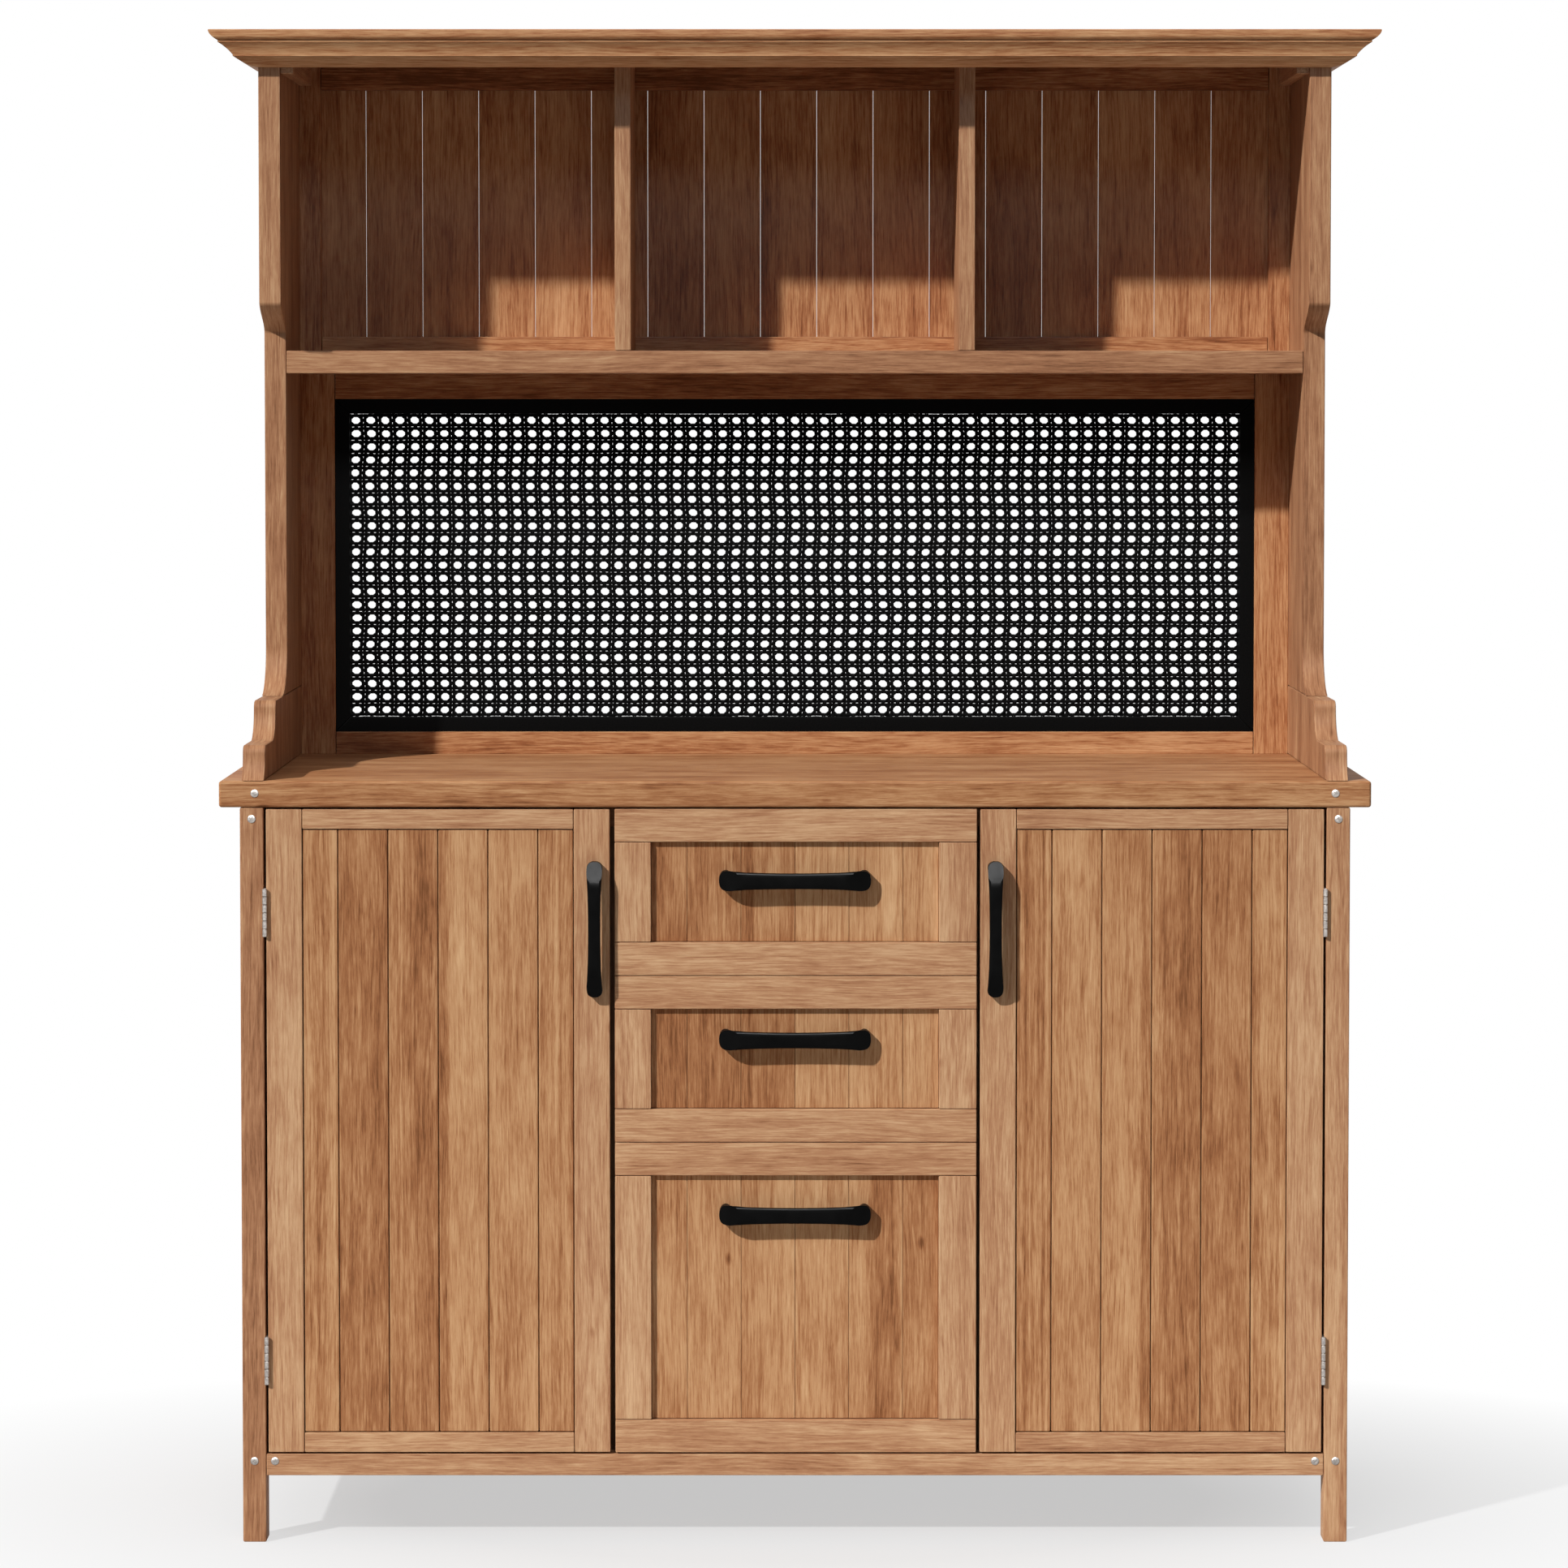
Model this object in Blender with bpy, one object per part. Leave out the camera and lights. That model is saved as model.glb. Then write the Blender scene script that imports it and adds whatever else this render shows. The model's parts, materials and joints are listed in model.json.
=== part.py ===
"""Garden storage cabinet: a hutch standing on a cupboard with two doors and three drawers.

Units are metres, +Z is up and the front faces -Y. The origin is on the floor under the middle of
the cabinet. Depths are measured back from the counter's front edge, and y_at turns one into a Y.
"""

from math import atan2, copysign, cos, pi, sin

import bmesh
import bpy
from mathutils import Vector

# Clearances
SEAT_GAP = 0.0003  # between pieces that rest on each other
FRONT_GAP = 0.002  # over and under the doors and the stack of drawer fronts
DRAWER_GAP = 0.0014  # between one drawer front and the next
DOOR_DRAWER_GAP = 0.0037
HINGE_GAP = 0.0026  # between a leg and its door, where the hinge leaves lie
STOP_GAP = 0.001  # behind a closed door or drawer front
EDGE_EASE = 0.0015  # rounding of the sawn edges

# Base: legs, rails and boards
COUNTER_WIDTH = 1.220
CABINET_DEPTH = 0.412
COUNTER_THICKNESS = 0.028
COUNTER_EASE = 0.004
COUNTER_OVERHANG = 0.022  # past the legs, at each side
FRONT_SETBACK = 0.0015  # legs, doors and drawers behind the counter's front edge
BASE_HEIGHT = 0.785  # floor to the underside of the counter
LEG_WIDTH = 0.025
LEG_DEPTH = 0.028
RAIL_LIFT = 0.0716
RAIL_HEIGHT = 0.023
RAIL_THICKNESS = 0.020
TOP_RAIL_HEIGHT = 0.022
FLOOR_THICKNESS = 0.012
BACK_THICKNESS = 0.012
BACK_INSET = 0.006  # back boards inside the rear faces of the legs
PARTITION_THICKNESS = 0.018
INNER_SHELF_THICKNESS = 0.012
INNER_SHELF_LIFT = 0.335  # above the floor board
INNER_SHELF_SETBACK = 0.030  # behind the doors
SIDE_BOARD_THICKNESS = 0.012
SIDE_BOARD_INSET = 0.008  # boards inside the outer faces of the legs
SIDE_RAIL_THICKNESS = 0.020
SIDE_RAIL_INSET = 0.002
SIDE_RAIL_HEIGHT = 0.040
SIDE_RAIL_LAP = 0.010  # boards let into the side rails
WALL_BOARD = 0.0573  # width of the boards in the sides, the back and the drawer fronts

# Grooves between the boards
GROOVE_WIDTH = 0.003
GROOVE_DEPTH = 0.0015

# Doors and drawer fronts
FRONT_THICKNESS = 0.020
DOOR_STILE = 0.038
DOOR_RAIL = 0.021
DOOR_BOARD = 0.053
DOOR_PANEL_SETBACK = 0.0015
DOOR_PANEL_THICKNESS = 0.013
DRAWER_FRONT_WIDTH = 0.3854
SHALLOW_FRONT_HEIGHT = 0.1763  # top and middle drawers; the bottom one takes the rest
DRAWER_STILE = 0.040
DRAWER_RAIL = 0.035
DRAWER_PANEL_SETBACK = 0.0045
DRAWER_PANEL_THICKNESS = 0.010

# Drawer boxes and their runners
BOX_WALL = 0.012
BOX_BASE = 0.008
BOX_LIFT = 0.022  # above the bottom of the drawer front
BOX_DROP = 0.030  # below the top of the drawer front
BOX_SIDE_GAP = 0.001
BOX_REAR_GAP = 0.044
RUNNER_WIDTH = 0.014
RUNNER_HEIGHT = 0.012

# Bow handles
HANDLE_PROJECTION = 0.0185
DRAWER_HANDLE_LENGTH = 0.161
DRAWER_FOOT_HEIGHT = 0.0213
DRAWER_BAR_HEIGHT = 0.0152
DOOR_HANDLE_LENGTH = 0.144
DOOR_FOOT_HEIGHT = 0.0165
DOOR_BAR_HEIGHT = 0.013
HANDLE_FOOT_LENGTH = 0.014  # along the handle, where a foot meets its front
HANDLE_BAR_THICKNESS = 0.007
HANDLE_HEEL = 0.009  # height of an end's upright wall, below its slope
HANDLE_HEEL_DROP = 0.004  # inner side of an end below the heel's outer side
HANDLE_RAMP = 0.021  # length over which an end slopes from its heel out to the bar
HANDLE_SHOULDER = 0.006  # length over which a wide end turns into the bar
HANDLE_SHOULDER_SHARE = 0.55  # part of the extra height that is left at the shoulder
HANDLE_SQUARENESS = 0.7  # exponent of the section: 1 is an ellipse, 0 a rectangle
DOOR_HANDLE_INSET = 0.0158  # handle's middle line from the free edge of its door
DOOR_HANDLE_DROP = 0.127  # handle's middle below the top of its door
HANDLE_DROPS = {"top": 0.0754, "middle": 0.0668, "bottom": 0.0759}

# Butt hinges
HINGE_LENGTH = 0.0515
HINGE_TOP_DROP = 0.1097  # middle of the upper hinge below the door's top
HINGE_BOTTOM_LIFT = 0.0984  # middle of the lower hinge above the door's bottom
BARREL_RADIUS = 0.0026
PIN_RADIUS = 0.0013
PIN_PLAY = 0.0002
KNUCKLES = 6
KNUCKLE_GAP = 0.0004
LEAF_WIDTH = 0.016
LEAF_GAP = 0.0005  # between the two leaves of a closed hinge

# Hutch sides
HUTCH_HEIGHT = 0.805  # counter to the top of the cap
HUTCH_INSET = 0.024  # sides inside the ends of the counter
HUTCH_SIDE_THICKNESS = 0.024
BRACKET_HEIGHT = 0.078
LOWER_STEP_HEIGHT = 0.0365
LOWER_STEP_FOOT = 0.001  # depths of the stepped front edge, from the counter's front
LOWER_STEP_NOSE = 0.0147
UPPER_STEP_FOOT = 0.092
UPPER_STEP_NOSE = 0.120
NOSE_RADIUS = 0.009
FLARE_FOOT = 0.193
FLARE_RISE = 0.052
WAIST_DEPTH = 0.241
CUBBY_DEPTH = 0.191
OGEE_LIFT = 0.0185  # above the hutch shelf
OGEE_RISE = 0.034

# Hutch shelf, dividers and backs
SHELF_LIFT = 0.4325  # counter to the underside of the shelf
SHELF_THICKNESS = 0.025
DIVIDER_THICKNESS = 0.018
DIVIDER_SPACING = 0.380
BACK_PANEL_INSET = 0.022  # front face of the hutch back, ahead of the cabinet's rear
CUBBY_FRAME_THICKNESS = 0.010
CUBBY_STILE = 0.024
CUBBY_TOP_RAIL = 0.039
CUBBY_BOTTOM_RAIL = 0.017
CUBBY_BOARD = 0.064
CUBBY_BOARD_SLIT = 0.0014
CUBBY_BOARD_THICKNESS = 0.009
CUBBY_FIRST_SLIT = 0.075  # from the inner face of the left side
CLEAT_WIDTH = 0.014
CLEAT_HEIGHT = 0.034
CANE_FRAME_THICKNESS = 0.016
CANE_STILE = 0.0385
CANE_TOP_RAIL = 0.028
CANE_BOTTOM_RAIL = 0.025
CANE_BORDER = 0.0165
CANE_BORDER_SETBACK = 0.003
CANE_BORDER_THICKNESS = 0.008
CANE_LAP = 0.006  # webbing held behind the border
CANE_THICKNESS = 0.002
CANE_COLUMNS = 24
CANE_ROWS = 9
CANE_HOLE = 0.74  # width of a hole as a share of its cell
CANE_CORNER = 0.29  # part of a hole's side that a slanted corner takes

# Crown
CAP_THICKNESS = 0.0118
CAP_REACH = 0.051  # beyond the hutch sides
CROWN_FRONT_SHARE = 0.77  # reach at the front as a share of the reach at the sides
CAP_ROUND = 0.0104
COVE_REACH = 0.0406
COVE_FOOT = 0.025
COVE_DROP = 0.0134
COVE_HOLLOW = 0.0012
CROWN_FILLET = 0.0014
OVOLO_REACH = 0.0235
OVOLO_DROP = 0.011
OVOLO_BULGE = 0.0018
CURVE_STEPS = 7
ROUND_SIDES = 16
BAR_STEPS = 3  # sections of a handle's bar from its shoulder to its middle

# Places that follow from the sizes above
HANDLE_REACH = max(0.0, HANDLE_PROJECTION + SEAT_GAP - FRONT_SETBACK)
MIDDLE_DEPTH = (CABINET_DEPTH - HANDLE_REACH) / 2
BASE_HALF = COUNTER_WIDTH / 2 - COUNTER_OVERHANG
LEG_INNER = BASE_HALF - LEG_WIDTH
RAIL_TOP = RAIL_LIFT + RAIL_HEIGHT
FRONT_BOTTOM = RAIL_TOP + FRONT_GAP
FRONT_TOP = BASE_HEIGHT - FRONT_GAP
FRONT_BACK = FRONT_SETBACK + FRONT_THICKNESS
STOP_DEPTH = FRONT_BACK + STOP_GAP
TOP_RAIL_BACK = STOP_DEPTH + RAIL_THICKNESS
REAR_LEG_FRONT = CABINET_DEPTH - LEG_DEPTH
BACK_FACE = CABINET_DEPTH - BACK_INSET - BACK_THICKNESS
BACK_PANEL_DEPTH = CABINET_DEPTH - BACK_PANEL_INSET
DRAWER_HALF = DRAWER_FRONT_WIDTH / 2
DOOR_INNER = DRAWER_HALF + DOOR_DRAWER_GAP
DOOR_OUTER = LEG_INNER - HINGE_GAP
DOOR_WIDTH = DOOR_OUTER - DOOR_INNER
PARTITION_MIDDLE = (DRAWER_HALF + DOOR_INNER) / 2
PARTITION_INNER = PARTITION_MIDDLE - PARTITION_THICKNESS / 2
PARTITION_OUTER = PARTITION_MIDDLE + PARTITION_THICKNESS / 2
SIDE_BOARD_OUTER = BASE_HALF - SIDE_BOARD_INSET
SIDE_BOARD_INNER = SIDE_BOARD_OUTER - SIDE_BOARD_THICKNESS
HINGE_DEPTH = FRONT_SETBACK - BARREL_RADIUS
HINGE_X = LEG_INNER - HINGE_GAP / 2
COUNTER_TOP = BASE_HEIGHT + COUNTER_THICKNESS
HUTCH_OUTER = COUNTER_WIDTH / 2 - HUTCH_INSET
HUTCH_INNER = HUTCH_OUTER - HUTCH_SIDE_THICKNESS
BRACKET_TOP = COUNTER_TOP + BRACKET_HEIGHT
CAP_TOP = COUNTER_TOP + HUTCH_HEIGHT
CAP_BOTTOM = CAP_TOP - CAP_THICKNESS
SHELF_BOTTOM = COUNTER_TOP + SHELF_LIFT
SHELF_TOP = SHELF_BOTTOM + SHELF_THICKNESS
PANEL_HALF = HUTCH_INNER - SEAT_GAP

SIDES = (("left", -1), ("right", 1))


def y_at(depth):
    """Y of a depth behind the counter's front edge."""
    return depth - MIDDLE_DEPTH


def drawer_fronts():
    """Name, bottom and top of each drawer front, from the top one down."""
    top = FRONT_TOP
    fronts = []
    for name in ("top", "middle"):
        fronts.append((name, top - SHALLOW_FRONT_HEIGHT, top))
        top -= SHALLOW_FRONT_HEIGHT + DRAWER_GAP
    fronts.append(("bottom", FRONT_BOTTOM, top))
    return fronts


# Materials

def finish(name, colour, roughness, metallic=0.0):
    """Principled material with one colour."""
    material = bpy.data.materials.new(name)
    material.use_nodes = True
    shader = material.node_tree.nodes["Principled BSDF"]
    shader.inputs["Base Color"].default_value = (*colour, 1.0)
    shader.inputs["Roughness"].default_value = roughness
    shader.inputs["Metallic"].default_value = metallic
    return material


def make_finishes():
    """Finishes of the cabinet by name."""
    return {
        "frame_wood": finish("frame_wood", (0.40, 0.19, 0.085), 0.55),
        "board_wood": finish("board_wood", (0.46, 0.23, 0.105), 0.55),
        "back_wood": finish("back_wood", (0.29, 0.125, 0.055), 0.6),
        "inner_wood": finish("inner_wood", (0.50, 0.30, 0.16), 0.65),
        "black_metal": finish("black_metal", (0.008, 0.008, 0.008), 0.45, 0.6),
        "black_cane": finish("black_cane", (0.006, 0.006, 0.006), 0.5),
        "zinc": finish("zinc", (0.62, 0.60, 0.58), 0.35, 1.0),
    }


# Mesh tools

def finished_mesh(bm, name):
    """Mesh of a closed bmesh, with its faces pointing out."""
    bmesh.ops.recalc_face_normals(bm, faces=bm.faces)
    mesh = bpy.data.meshes.new(name)
    bm.to_mesh(mesh)
    bm.free()
    return mesh


def extrude_faces(bm, faces, travel):
    """Closed solid from flat faces and a copy of them moved by travel."""
    result = bmesh.ops.extrude_face_region(bm, geom=faces)
    moved = [item for item in result["geom"] if isinstance(item, bmesh.types.BMVert)]
    bmesh.ops.translate(bm, vec=travel, verts=moved)


def box_mesh(name, size):
    """Box round the origin."""
    bm = bmesh.new()
    bmesh.ops.create_cube(bm, size=1.0)
    bmesh.ops.scale(bm, vec=size, verts=bm.verts)
    return finished_mesh(bm, name)


def prism_mesh(name, outline, travel):
    """Flat outline of 3-D points, extruded along travel."""
    bm = bmesh.new()
    face = bm.faces.new([bm.verts.new(point) for point in outline])
    extrude_faces(bm, [face], travel)
    return finished_mesh(bm, name)


def loft_mesh(name, rings):
    """Skin over rings of equally many points, closed by the first and the last."""
    bm = bmesh.new()
    loops = [[bm.verts.new(point) for point in ring] for ring in rings]
    for lower, upper in zip(loops, loops[1:]):
        for index in range(len(lower)):
            following = (index + 1) % len(lower)
            bm.faces.new((lower[index], lower[following], upper[following], upper[index]))
    bm.faces.new(loops[0])
    bm.faces.new(loops[-1])
    return finished_mesh(bm, name)


def rod_mesh(name, radius, low, high):
    """Round rod along Z."""
    angles = [2 * pi * step / ROUND_SIDES for step in range(ROUND_SIDES)]
    rings = [[(radius * cos(a), radius * sin(a), z) for a in angles] for z in (low, high)]
    return loft_mesh(name, rings)


def pierced_plate_mesh(name, x_cuts, z_cuts, thickness, open_cells):
    """Plate in XZ, divided at the cuts, with (column, row) cells left open; its front is at y = 0."""
    bm = bmesh.new()
    rows = [[bm.verts.new((x, 0.0, z)) for x in x_cuts] for z in z_cuts]
    faces = []
    for row, (lower, upper) in enumerate(zip(rows, rows[1:])):
        for column in range(len(x_cuts) - 1):
            if (column, row) not in open_cells:
                corners = (lower[column], lower[column + 1], upper[column + 1], upper[column])
                faces.append(bm.faces.new(corners))
    extrude_faces(bm, faces, (0.0, thickness, 0.0))
    return finished_mesh(bm, name)


def ring_frame_mesh(name, half_width, height, stile, rails, thickness):
    """Open frame standing on z = 0; rails are the bottom and top widths."""
    x_cuts = (-half_width, stile - half_width, half_width - stile, half_width)
    z_cuts = (0.0, rails[0], height - rails[1], height)
    return pierced_plate_mesh(name, x_cuts, z_cuts, thickness, {(1, 1)})


def grooved_panel_mesh(name, half_width, height, thickness, board):
    """Panel of upright boards with V grooves in its front face, standing on z = 0."""
    count = int((half_width - GROOVE_WIDTH) / board)
    outline = [(-half_width, thickness, 0.0), (-half_width, 0.0, 0.0)]
    for step in range(-count, count + 1):
        middle = step * board
        outline.append((middle - GROOVE_WIDTH / 2, 0.0, 0.0))
        outline.append((middle, GROOVE_DEPTH, 0.0))
        outline.append((middle + GROOVE_WIDTH / 2, 0.0, 0.0))
    outline += [(half_width, 0.0, 0.0), (half_width, thickness, 0.0)]
    return prism_mesh(name, outline, (0.0, 0.0, height))


def fused_mesh(name, solids, cuts=()):
    """One mesh from overlapping closed meshes, joined, with the cuts then taken away."""
    scene_objects = bpy.context.scene.collection.objects
    target = bpy.data.objects.new(name, solids[0])
    scene_objects.link(target)
    helpers = [target]
    for operation, meshes in (("UNION", solids[1:]), ("DIFFERENCE", cuts)):
        for mesh in meshes:
            helper = bpy.data.objects.new(name + "_helper", mesh)
            scene_objects.link(helper)
            helpers.append(helper)
            modifier = target.modifiers.new(operation.lower(), "BOOLEAN")
            modifier.operation = operation
            modifier.object = helper
    depsgraph = bpy.context.evaluated_depsgraph_get()
    mesh = bpy.data.meshes.new_from_object(target.evaluated_get(depsgraph))
    for helper in helpers:
        bpy.data.objects.remove(helper, do_unlink=True)
    return mesh


def ease_edges(mesh, width):
    """Flat chamfer on every outer edge of a mesh; inner corners stay square."""
    bm = bmesh.new()
    bm.from_mesh(mesh)
    sharp = [edge for edge in bm.edges if edge.is_convex and edge.calc_face_angle() > pi / 6]
    bmesh.ops.bevel(bm, geom=sharp, offset=width, segments=1, affect="EDGES")
    bm.to_mesh(mesh)
    bm.free()


def shifted(mesh, offset):
    """The same mesh, moved."""
    for vertex in mesh.vertices:
        vertex.co += Vector(offset)
    return mesh


# Placing

def add_body(name, location):
    """Empty on a joint's axis; the pieces that move together hang from it."""
    body = bpy.data.objects.new(name, None)
    body.location = location
    bpy.context.scene.collection.objects.link(body)
    return body


def add_piece(name, mesh, material, location, body=None, ease=0.0, smooth_angle=None):
    """Named piece at a world location, hung from its body, with its edges eased."""
    if ease > 0.0:
        ease_edges(mesh, ease)
    mesh.materials.clear()
    mesh.materials.append(material)
    piece = bpy.data.objects.new(name, mesh)
    piece.location = location
    if body is not None:
        piece.parent = body
        piece.location = Vector(location) - body.location
    if smooth_angle is not None:
        mesh.shade_smooth()
        mesh.set_sharp_from_angle(angle=smooth_angle)
    bpy.context.scene.collection.objects.link(piece)
    return piece


def add_board(name, x_span, depth_span, z_span, material, body=None, ease=EDGE_EASE):
    """Rectangular board between (low, high) spans of x, depth and z."""
    spans = (x_span, [y_at(depth) for depth in depth_span], z_span)
    size = [high - low for low, high in spans]
    middle = [(low + high) / 2 for low, high in spans]
    return add_piece(name, box_mesh(name, size), material, middle, body, ease)


def mirrored_span(sign, inner, outer):
    """Low and high x of a span given by its distances from the middle."""
    return sorted((sign * inner, sign * outer))


# Base

def build_legs_and_rails(finishes):
    wood = finishes["frame_wood"]
    top = BASE_HEIGHT - SEAT_GAP
    places = (("front", FRONT_SETBACK), ("rear", REAR_LEG_FRONT))
    for side, sign in SIDES:
        for place, depth in places:
            x_span = mirrored_span(sign, LEG_INNER, BASE_HALF)
            add_board(f"{place}_{side}_leg", x_span, (depth, depth + LEG_DEPTH), (0.0, top), wood)
    across = (SEAT_GAP - LEG_INNER, LEG_INNER - SEAT_GAP)
    rear_front = CABINET_DEPTH - BACK_INSET - RAIL_THICKNESS
    rail_depths = (("front", FRONT_SETBACK), ("rear", rear_front))
    for place, depth in rail_depths:
        z_span = (RAIL_LIFT, RAIL_TOP)
        add_board(f"{place}_bottom_rail", across, (depth, depth + RAIL_THICKNESS), z_span, wood)
    z_span = (top - TOP_RAIL_HEIGHT, top)
    add_board("front_top_rail", across, (STOP_DEPTH, TOP_RAIL_BACK), z_span, finishes["inner_wood"])


def build_side_panels(finishes):
    """Upright boards let into a top and a bottom rail, between the legs."""
    front = FRONT_SETBACK + LEG_DEPTH + SEAT_GAP
    back = REAR_LEG_FRONT - SEAT_GAP
    half = (back - front) / 2
    top = BASE_HEIGHT - SEAT_GAP
    board_low = RAIL_LIFT + SIDE_RAIL_HEIGHT - SIDE_RAIL_LAP
    board_high = top - SIDE_RAIL_HEIGHT + SIDE_RAIL_LAP
    board_inset = SIDE_BOARD_INSET - SIDE_RAIL_INSET
    rail_size = (2 * half, SIDE_RAIL_THICKNESS, SIDE_RAIL_HEIGHT)
    board_half = half - SEAT_GAP
    for side, sign in SIDES:
        name = f"{side}_side_panel"
        height = board_high - board_low
        boards = grooved_panel_mesh(name, board_half, height, SIDE_BOARD_THICKNESS, WALL_BOARD)
        solids = [shifted(boards, (0.0, board_inset, board_low))]
        for rail_low in (RAIL_LIFT, top - SIDE_RAIL_HEIGHT):
            rail = box_mesh(name, rail_size)
            rail_middle = (0.0, SIDE_RAIL_THICKNESS / 2, rail_low + SIDE_RAIL_HEIGHT / 2)
            solids.append(shifted(rail, rail_middle))
        face = sign * (BASE_HALF - SIDE_RAIL_INSET)
        location = (face, y_at((front + back) / 2), 0.0)
        panel = add_piece(name, fused_mesh(name, solids), finishes["board_wood"], location)
        panel.rotation_euler = (0.0, 0.0, sign * pi / 2)


def build_back_and_floor(finishes):
    half = LEG_INNER - SEAT_GAP
    low = RAIL_TOP + SEAT_GAP
    height = BASE_HEIGHT - SEAT_GAP - low
    name = "base_back_panel"
    mesh = grooved_panel_mesh(name, half, height, BACK_THICKNESS, WALL_BOARD)
    location = (0.0, y_at(BACK_FACE + BACK_THICKNESS), low)
    panel = add_piece(name, mesh, finishes["board_wood"], location)
    panel.rotation_euler = (0.0, 0.0, pi)
    rear_rail_front = CABINET_DEPTH - BACK_INSET - RAIL_THICKNESS
    depth_span = (FRONT_SETBACK + RAIL_THICKNESS + SEAT_GAP, rear_rail_front - SEAT_GAP)
    z_span = (RAIL_TOP - FLOOR_THICKNESS, RAIL_TOP)
    add_board("floor_board", (-half, half), depth_span, z_span, finishes["inner_wood"])


def build_partitions(finishes):
    """Upright board at each side of the drawers, with a runner ledge under every drawer box."""
    wood = finishes["inner_wood"]
    front = TOP_RAIL_BACK + SEAT_GAP
    back = BACK_FACE - SEAT_GAP
    low = RAIL_TOP + SEAT_GAP
    high = BASE_HEIGHT - SEAT_GAP
    for side, sign in SIDES:
        section = [(PARTITION_OUTER, high), (PARTITION_OUTER, low), (PARTITION_INNER, low)]
        for _, front_low, _ in reversed(drawer_fronts()):
            ledge_top = front_low + BOX_LIFT - SEAT_GAP
            ledge_low = ledge_top - RUNNER_HEIGHT
            ledge_end = PARTITION_INNER - RUNNER_WIDTH
            section += [(PARTITION_INNER, ledge_low), (ledge_end, ledge_low)]
            section += [(ledge_end, ledge_top), (PARTITION_INNER, ledge_top)]
        section.append((PARTITION_INNER, high))
        outline = [(sign * x, 0.0, z) for x, z in section]
        name = f"{side}_partition"
        mesh = prism_mesh(name, outline, (0.0, back - front, 0.0))
        add_piece(name, mesh, wood, (0.0, y_at(front), 0.0))
        shelf_low = RAIL_TOP + INNER_SHELF_LIFT
        x_span = mirrored_span(sign, PARTITION_OUTER + SEAT_GAP, SIDE_BOARD_INNER - SEAT_GAP)
        depth_span = (FRONT_BACK + INNER_SHELF_SETBACK, REAR_LEG_FRONT - SEAT_GAP)
        z_span = (shelf_low, shelf_low + INNER_SHELF_THICKNESS)
        add_board(f"{side}_inner_shelf", x_span, depth_span, z_span, wood)


def build_counter(finishes):
    half = COUNTER_WIDTH / 2
    z_span = (BASE_HEIGHT, COUNTER_TOP)
    depth_span = (0.0, CABINET_DEPTH)
    add_board("countertop", (-half, half), depth_span, z_span, finishes["frame_wood"], ease=COUNTER_EASE)


# Handles

def handle_section(middle, direction, thickness, height):
    """Rounded section across a handle's middle line; middle and direction are (along, out)."""
    along, out = middle
    normal = (-direction[1], direction[0])
    ring = []
    for step in range(ROUND_SIDES):
        angle = 2 * pi * step / ROUND_SIDES
        wide = copysign(abs(cos(angle)) ** HANDLE_SQUARENESS, cos(angle)) * thickness / 2
        tall = copysign(abs(sin(angle)) ** HANDLE_SQUARENESS, sin(angle)) * height / 2
        ring.append((along + normal[0] * wide, -(out + normal[1] * wide), tall))
    return ring


def handle_mesh(name, length, foot_height, bar_height):
    """Bow handle along X on the plane y = 0: wide sloping ends and a bar that narrows to its middle."""
    end = -length / 2
    bar_out = HANDLE_PROJECTION - HANDLE_BAR_THICKNESS / 2
    bar_inner = HANDLE_PROJECTION - HANDLE_BAR_THICKNESS
    foot_end = end + HANDLE_FOOT_LENGTH
    slope = HANDLE_RAMP / (HANDLE_PROJECTION - HANDLE_HEEL)
    inner_heel = HANDLE_HEEL - HANDLE_HEEL_DROP
    inner_bend = Vector((foot_end + slope * HANDLE_HEEL_DROP, bar_inner))
    walls = (
        (Vector((end, 0.0)), Vector((foot_end, 0.0))),
        (Vector((end, HANDLE_HEEL)), Vector((foot_end, inner_heel))),
        (Vector((end + HANDLE_RAMP, HANDLE_PROJECTION)), inner_bend),
    )
    half = []
    for outer, inner in walls:
        across = outer - inner
        direction = Vector((across.y, -across.x)).normalized()
        half.append(((outer + inner) / 2, direction, across.length, foot_height))
    shoulder = inner_bend.x + HANDLE_SHOULDER
    extra = HANDLE_SHOULDER_SHARE * (foot_height - bar_height)
    for step in range(BAR_STEPS):
        share = 1 - step / BAR_STEPS
        along = shoulder * share
        height = bar_height + extra * share ** 2
        half.append(((along, bar_out), (1.0, 0.0), HANDLE_BAR_THICKNESS, height))
    mirrored = []
    for (along, out), (forward, outward), thickness, height in reversed(half):
        mirrored.append(((-along, out), (forward, -outward), thickness, height))
    return loft_mesh(name, [handle_section(*station) for station in half + mirrored])


def add_handle(name, mesh, finishes, x, face_depth, z, body, upright=False):
    """Handle on a front whose face is at a depth."""
    location = (x, y_at(face_depth - SEAT_GAP), z)
    handle = add_piece(name, mesh, finishes["black_metal"], location, body, smooth_angle=pi / 4)
    if upright:
        handle.rotation_euler = (0.0, pi / 2, 0.0)


# Doors and hinges

def knuckle_spans(first):
    """Low and high z of every second knuckle, counted from the first."""
    pitch = HINGE_LENGTH / KNUCKLES
    spans = []
    for index in range(first, KNUCKLES, 2):
        low = index * pitch - HINGE_LENGTH / 2
        spans.append((low + KNUCKLE_GAP / 2, low + pitch - KNUCKLE_GAP / 2))
    return spans


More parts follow.
